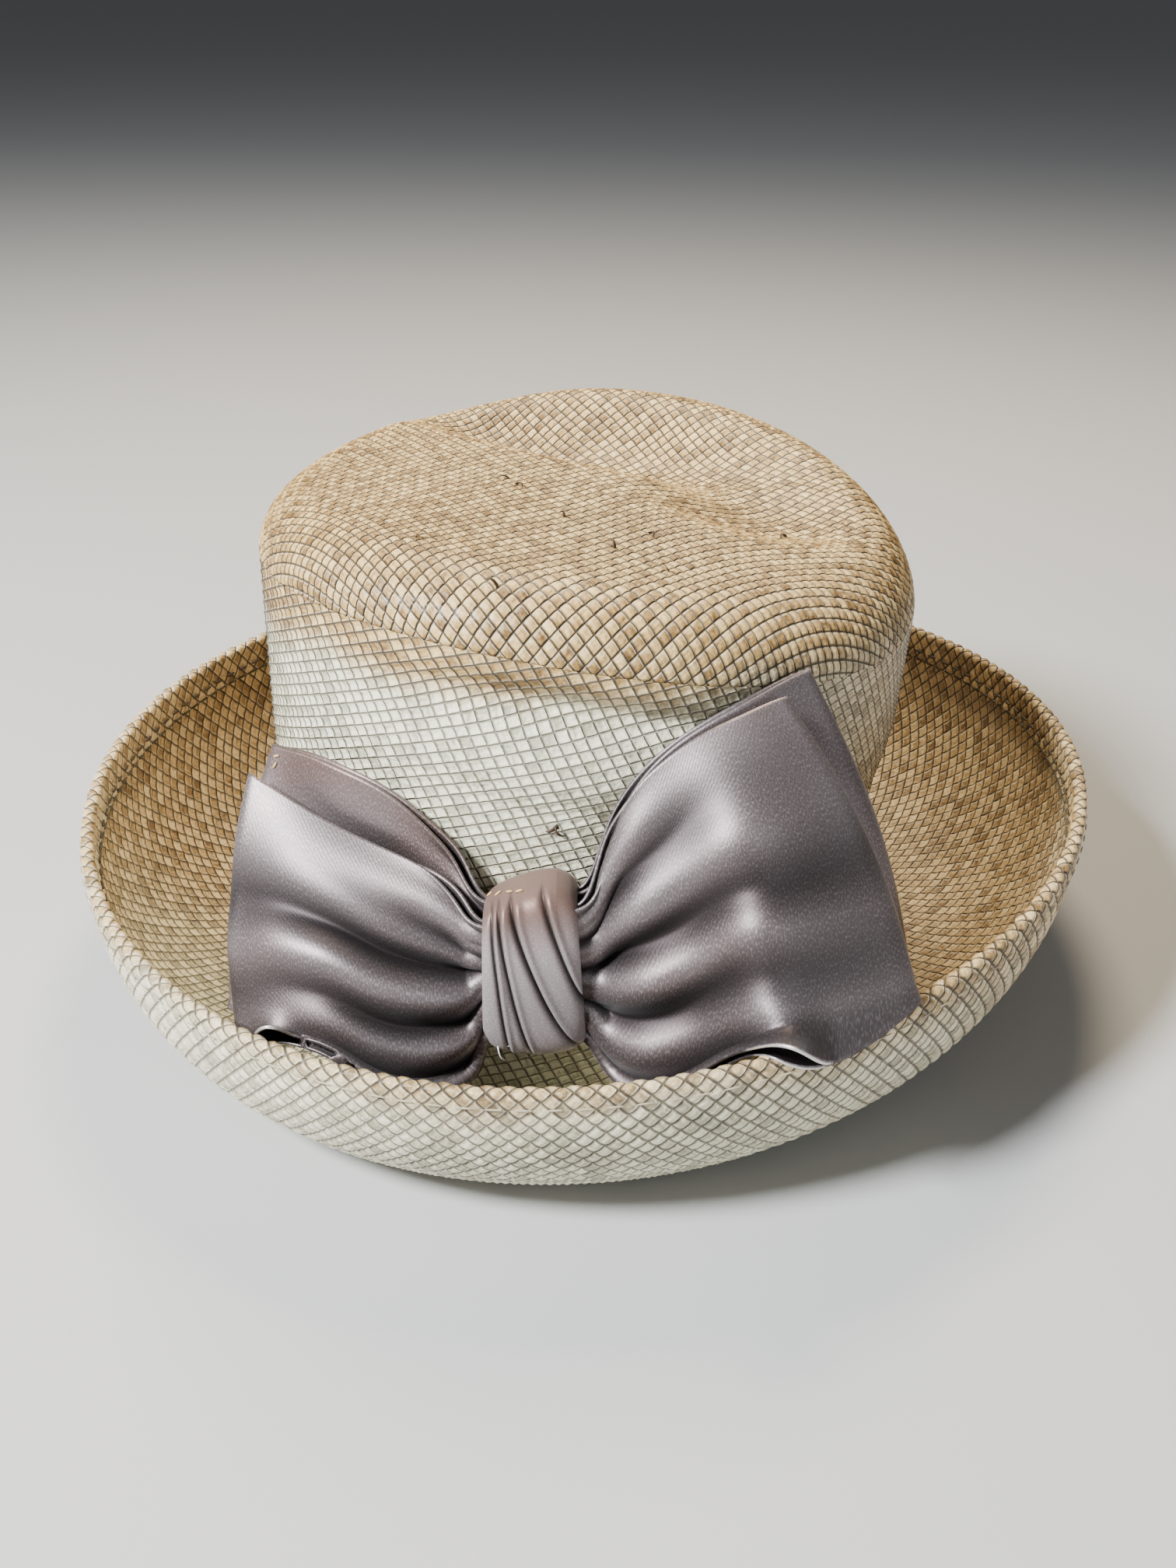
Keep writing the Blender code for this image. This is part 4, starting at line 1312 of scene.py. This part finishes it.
class HAT_OT_crown(bpy.types.Operator):
    """Weave the crown's wall and top"""
    bl_idname = "hat.crown"
    bl_label = "Crown"

    def execute(self, context):
        sizes = context.scene.hat_sizes
        made = finishes()
        skin = crown_wall_skin()
        wall = woven_band("crown_wall", skin, 0.0, 1.0, *CROWN_STRAWS,
                          band_height(skin, 1.0, CROWN_STRAWS, CROWN_CROSSING), sizes.straw_cuts,
                          sizes.relief, STRAW_WALL * 0.9, True, made["straw_crown_woven"])
        top = woven_top("crown_top", crown_top_skin(), TOP_RADIUS, sizes.straw_cuts, sizes.relief,
                        STRAW_WALL * 0.9, made["straw_crown_woven"])
        for piece in (wall, top):
            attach(piece, "root")
            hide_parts("crown")
        return {"FINISHED"}


class HAT_OT_brim(bpy.types.Operator):
    """Weave the brim's outside, rim, turned hem and inside"""
    bl_idname = "hat.brim"
    bl_label = "Brim"

    def execute(self, context):
        sizes = context.scene.hat_sizes
        made = finishes()
        outer, inner = brim_outer_skin(), brim_inner_skin()
        split = 0.5
        high_tall = band_height(outer, 1 - split, BRIM_STRAWS, BRIM_CROSSING)
        low = woven_band("brim_under", outer, 0.0, split, *BRIM_STRAWS, high_tall, 2, sizes.relief,
                         STRAW_WALL * 0.4, True, made["straw_brim_woven"])
        high = woven_band("brim_rim", outer, split, 1.0, *BRIM_STRAWS, high_tall, 3, sizes.relief,
                          STRAW_WALL * 0.4, True, made["straw_brim_woven"])
        inside = woven_band("brim_inside", inner, 0.0, 1.0, *BRIM_STRAWS,
                            band_height(inner, 1.0, BRIM_STRAWS, BRIM_CROSSING), 2, sizes.relief,
                            STRAW_WALL * 0.4, False, made["straw_inside_woven"])
        for piece in (low, high, inside):
            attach(piece, "root")
            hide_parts("brim")
        return {"FINISHED"}


class HAT_OT_bow(bpy.types.Operator):
    """Fold the bow's four satin loops and its knot"""
    bl_idname = "hat.bow"
    bl_label = "Bow"

    def execute(self, context):
        made = finishes()
        left = (REACH_LEFT, -1)
        right = (REACH_RIGHT, 1)
        for side, rows, reach, gathers, curls, finish, carrier in (
                ("left_front", LEFT_FRONT, left, LEFT_GATHERS, LEFT_CURLS, "satin_woven", "brim_rim"),
                ("left_back", LEFT_BACK, left, LEFT_GATHERS[:3], (), "satin_back_woven", "crown_wall"),
                ("right_front", RIGHT_FRONT, right, RIGHT_GATHERS, RIGHT_CURLS, "satin_woven", "brim_rim"),
                ("right_back", RIGHT_BACK, right, RIGHT_GATHERS[:3], (), "satin_woven", "crown_wall")):
            make_loop("loop_" + side, "bow_" + side + "_loop", rows, *reach, gathers, curls, made[finish],
                      [carrier])
        make_knot(made["satin_knot_woven"])
        return {"FINISHED"}


class HAT_OT_details(bpy.types.Operator):
    """Sew the hem and add the loose straw ends and the bow's threads"""
    bl_idname = "hat.details"
    bl_label = "Details"

    def execute(self, context):
        sizes, made, pieces = context.scene.hat_sizes, finishes(), bpy.data.objects
        outer = brim_outer_skin()
        top = outer.share[np.argmax(outer.rings[:, :, 2].mean(axis=1))]
        length, gap = sizes.stitch / MM, sizes.stitch_gap / MM
        stitch_line("hem_stitches", outer, 1 - 3.2 / outer.length, True, length, gap, 1.0, 0.8,
                    made["hem_thread"])
        stitch_line("hem_edge", outer, 1 - 0.4 / outer.length, True, 5.0, 0.2, 0.8, 0.3,
                    made["raw_edge"])
        stitch_line("outer_stitches", outer, top - 5.5 / outer.length, False, length, gap, 0.5, 0.6,
                    made["straw_thread"])
        straw = [pieces["crown_top"], pieces["crown_wall"]]
        context.view_layer.update()
        # the loose ends are near black, partly painted shade
        bare_ends("loose_straws", LOOSE_ENDS, straw, 1.4, made["bare_straw"])
        satin = [pieces["knot"], pieces["loop_left_back"]]
        gold = [snapped(row, satin) for row in GOLD_STITCHES]
        places, outs, ways = zip(*gold)
        places = [place + 0.2 * out for place, out in zip(places, outs)]
        sewn("gold_stitches", places, ways, outs, 2.0, 0.7, made["gold_thread"])
        bare_ends("thread_ends", THREAD_ENDS, [pieces["knot"]], 0.5, made["white_thread"])
        return {"FINISHED"}


class HAT_OT_stage(bpy.types.Operator):
    """Lay a plain pale floor and set soft lights and the camera"""
    bl_idname = "hat.stage"
    bl_label = "Stage"

    def execute(self, context):
        bpy.ops.object.select_all(action="DESELECT")
        bpy.ops.mesh.primitive_plane_add(size=FLOOR_SIZE, location=(0, 0, 0))
        floor = context.active_object
        floor.name = "floor"
        f = Finish("pale_floor")
        f.set(Base_Color=FLOOR_GREY, Roughness=0.9)
        floor.data.materials.append(f.material)
        world = bpy.data.worlds.new("studio")
        context.scene.world = world
        world.use_nodes = True
        background = world.node_tree.nodes["Background"]
        background.inputs["Color"].default_value = (*WORLD_COLOUR, 1)
        background.inputs["Strength"].default_value = WORLD_STRENGTH
        for row in LIGHTS:
            add_light(*row)
        add_camera()
        return {"FINISHED"}


def aim(place, target, roll=0.0):
    """A turn that looks from place to target, as camera and light axes."""
    look = (Vector(target) - Vector(place)).normalized()
    right = look.cross(Vector((0, 0, 1))).normalized()
    up = right.cross(look)
    c, s = math.cos(roll), math.sin(roll)
    right, up = c * right - s * up, s * right + c * up
    turn = Matrix((right, up, -look)).transposed().to_4x4()
    turn.translation = Vector(place)
    return turn


def add_light(name, place, target, size, power, colour):
    data = bpy.data.lights.new(name, "AREA")
    data.shape = "DISK"
    data.size = size
    data.energy = power
    data.color = colour
    lamp = bpy.data.objects.new(name, data)
    bpy.context.collection.objects.link(lamp)
    lamp.matrix_world = aim(place, target)
    return lamp


def add_camera():
    data = bpy.data.cameras.new("view")
    data.sensor_fit = "VERTICAL"
    data.sensor_height = SENSOR_HEIGHT
    data.lens = CAMERA_LENS
    data.clip_start = 0.01
    data.clip_end = 20.0
    camera = bpy.data.objects.new("view", data)
    bpy.context.collection.objects.link(camera)
    camera.matrix_world = aim(CAMERA_PLACE, CAMERA_TARGET, math.radians(CAMERA_ROLL))
    bpy.context.scene.camera = camera
    return camera


class HAT_PT_panel(bpy.types.Panel):
    """Buttons for the hat's steps, and its sizes and colours"""
    bl_label = "Straw hat"
    bl_idname = "HAT_PT_panel"
    bl_space_type = "VIEW_3D"
    bl_region_type = "UI"
    bl_category = "Straw hat"

    def draw(self, context):
        for kind in OPERATORS:
            self.layout.operator(kind.bl_idname)
        for group in (context.scene.hat_sizes, context.scene.hat_colours):
            for key in group.__annotations__:
                self.layout.prop(group, key)


OPERATORS = (HAT_OT_crown, HAT_OT_brim, HAT_OT_bow, HAT_OT_details, HAT_OT_stage)
CLASSES = (HatSizes, HatColours, *OPERATORS, HAT_PT_panel)


def register():
    for kind in CLASSES:
        bpy.utils.register_class(kind)
    bpy.types.Scene.hat_sizes = PointerProperty(type=HatSizes)
    bpy.types.Scene.hat_colours = PointerProperty(type=HatColours)


def unregister():
    del bpy.types.Scene.hat_colours
    del bpy.types.Scene.hat_sizes
    for kind in reversed(CLASSES):
        bpy.utils.unregister_class(kind)


def main():
    register()
    bpy.ops.hat.crown()
    bpy.ops.hat.brim()
    bpy.ops.hat.bow()
    bpy.ops.hat.details()
    bpy.ops.hat.stage()


if __name__ == "__main__":
    main()
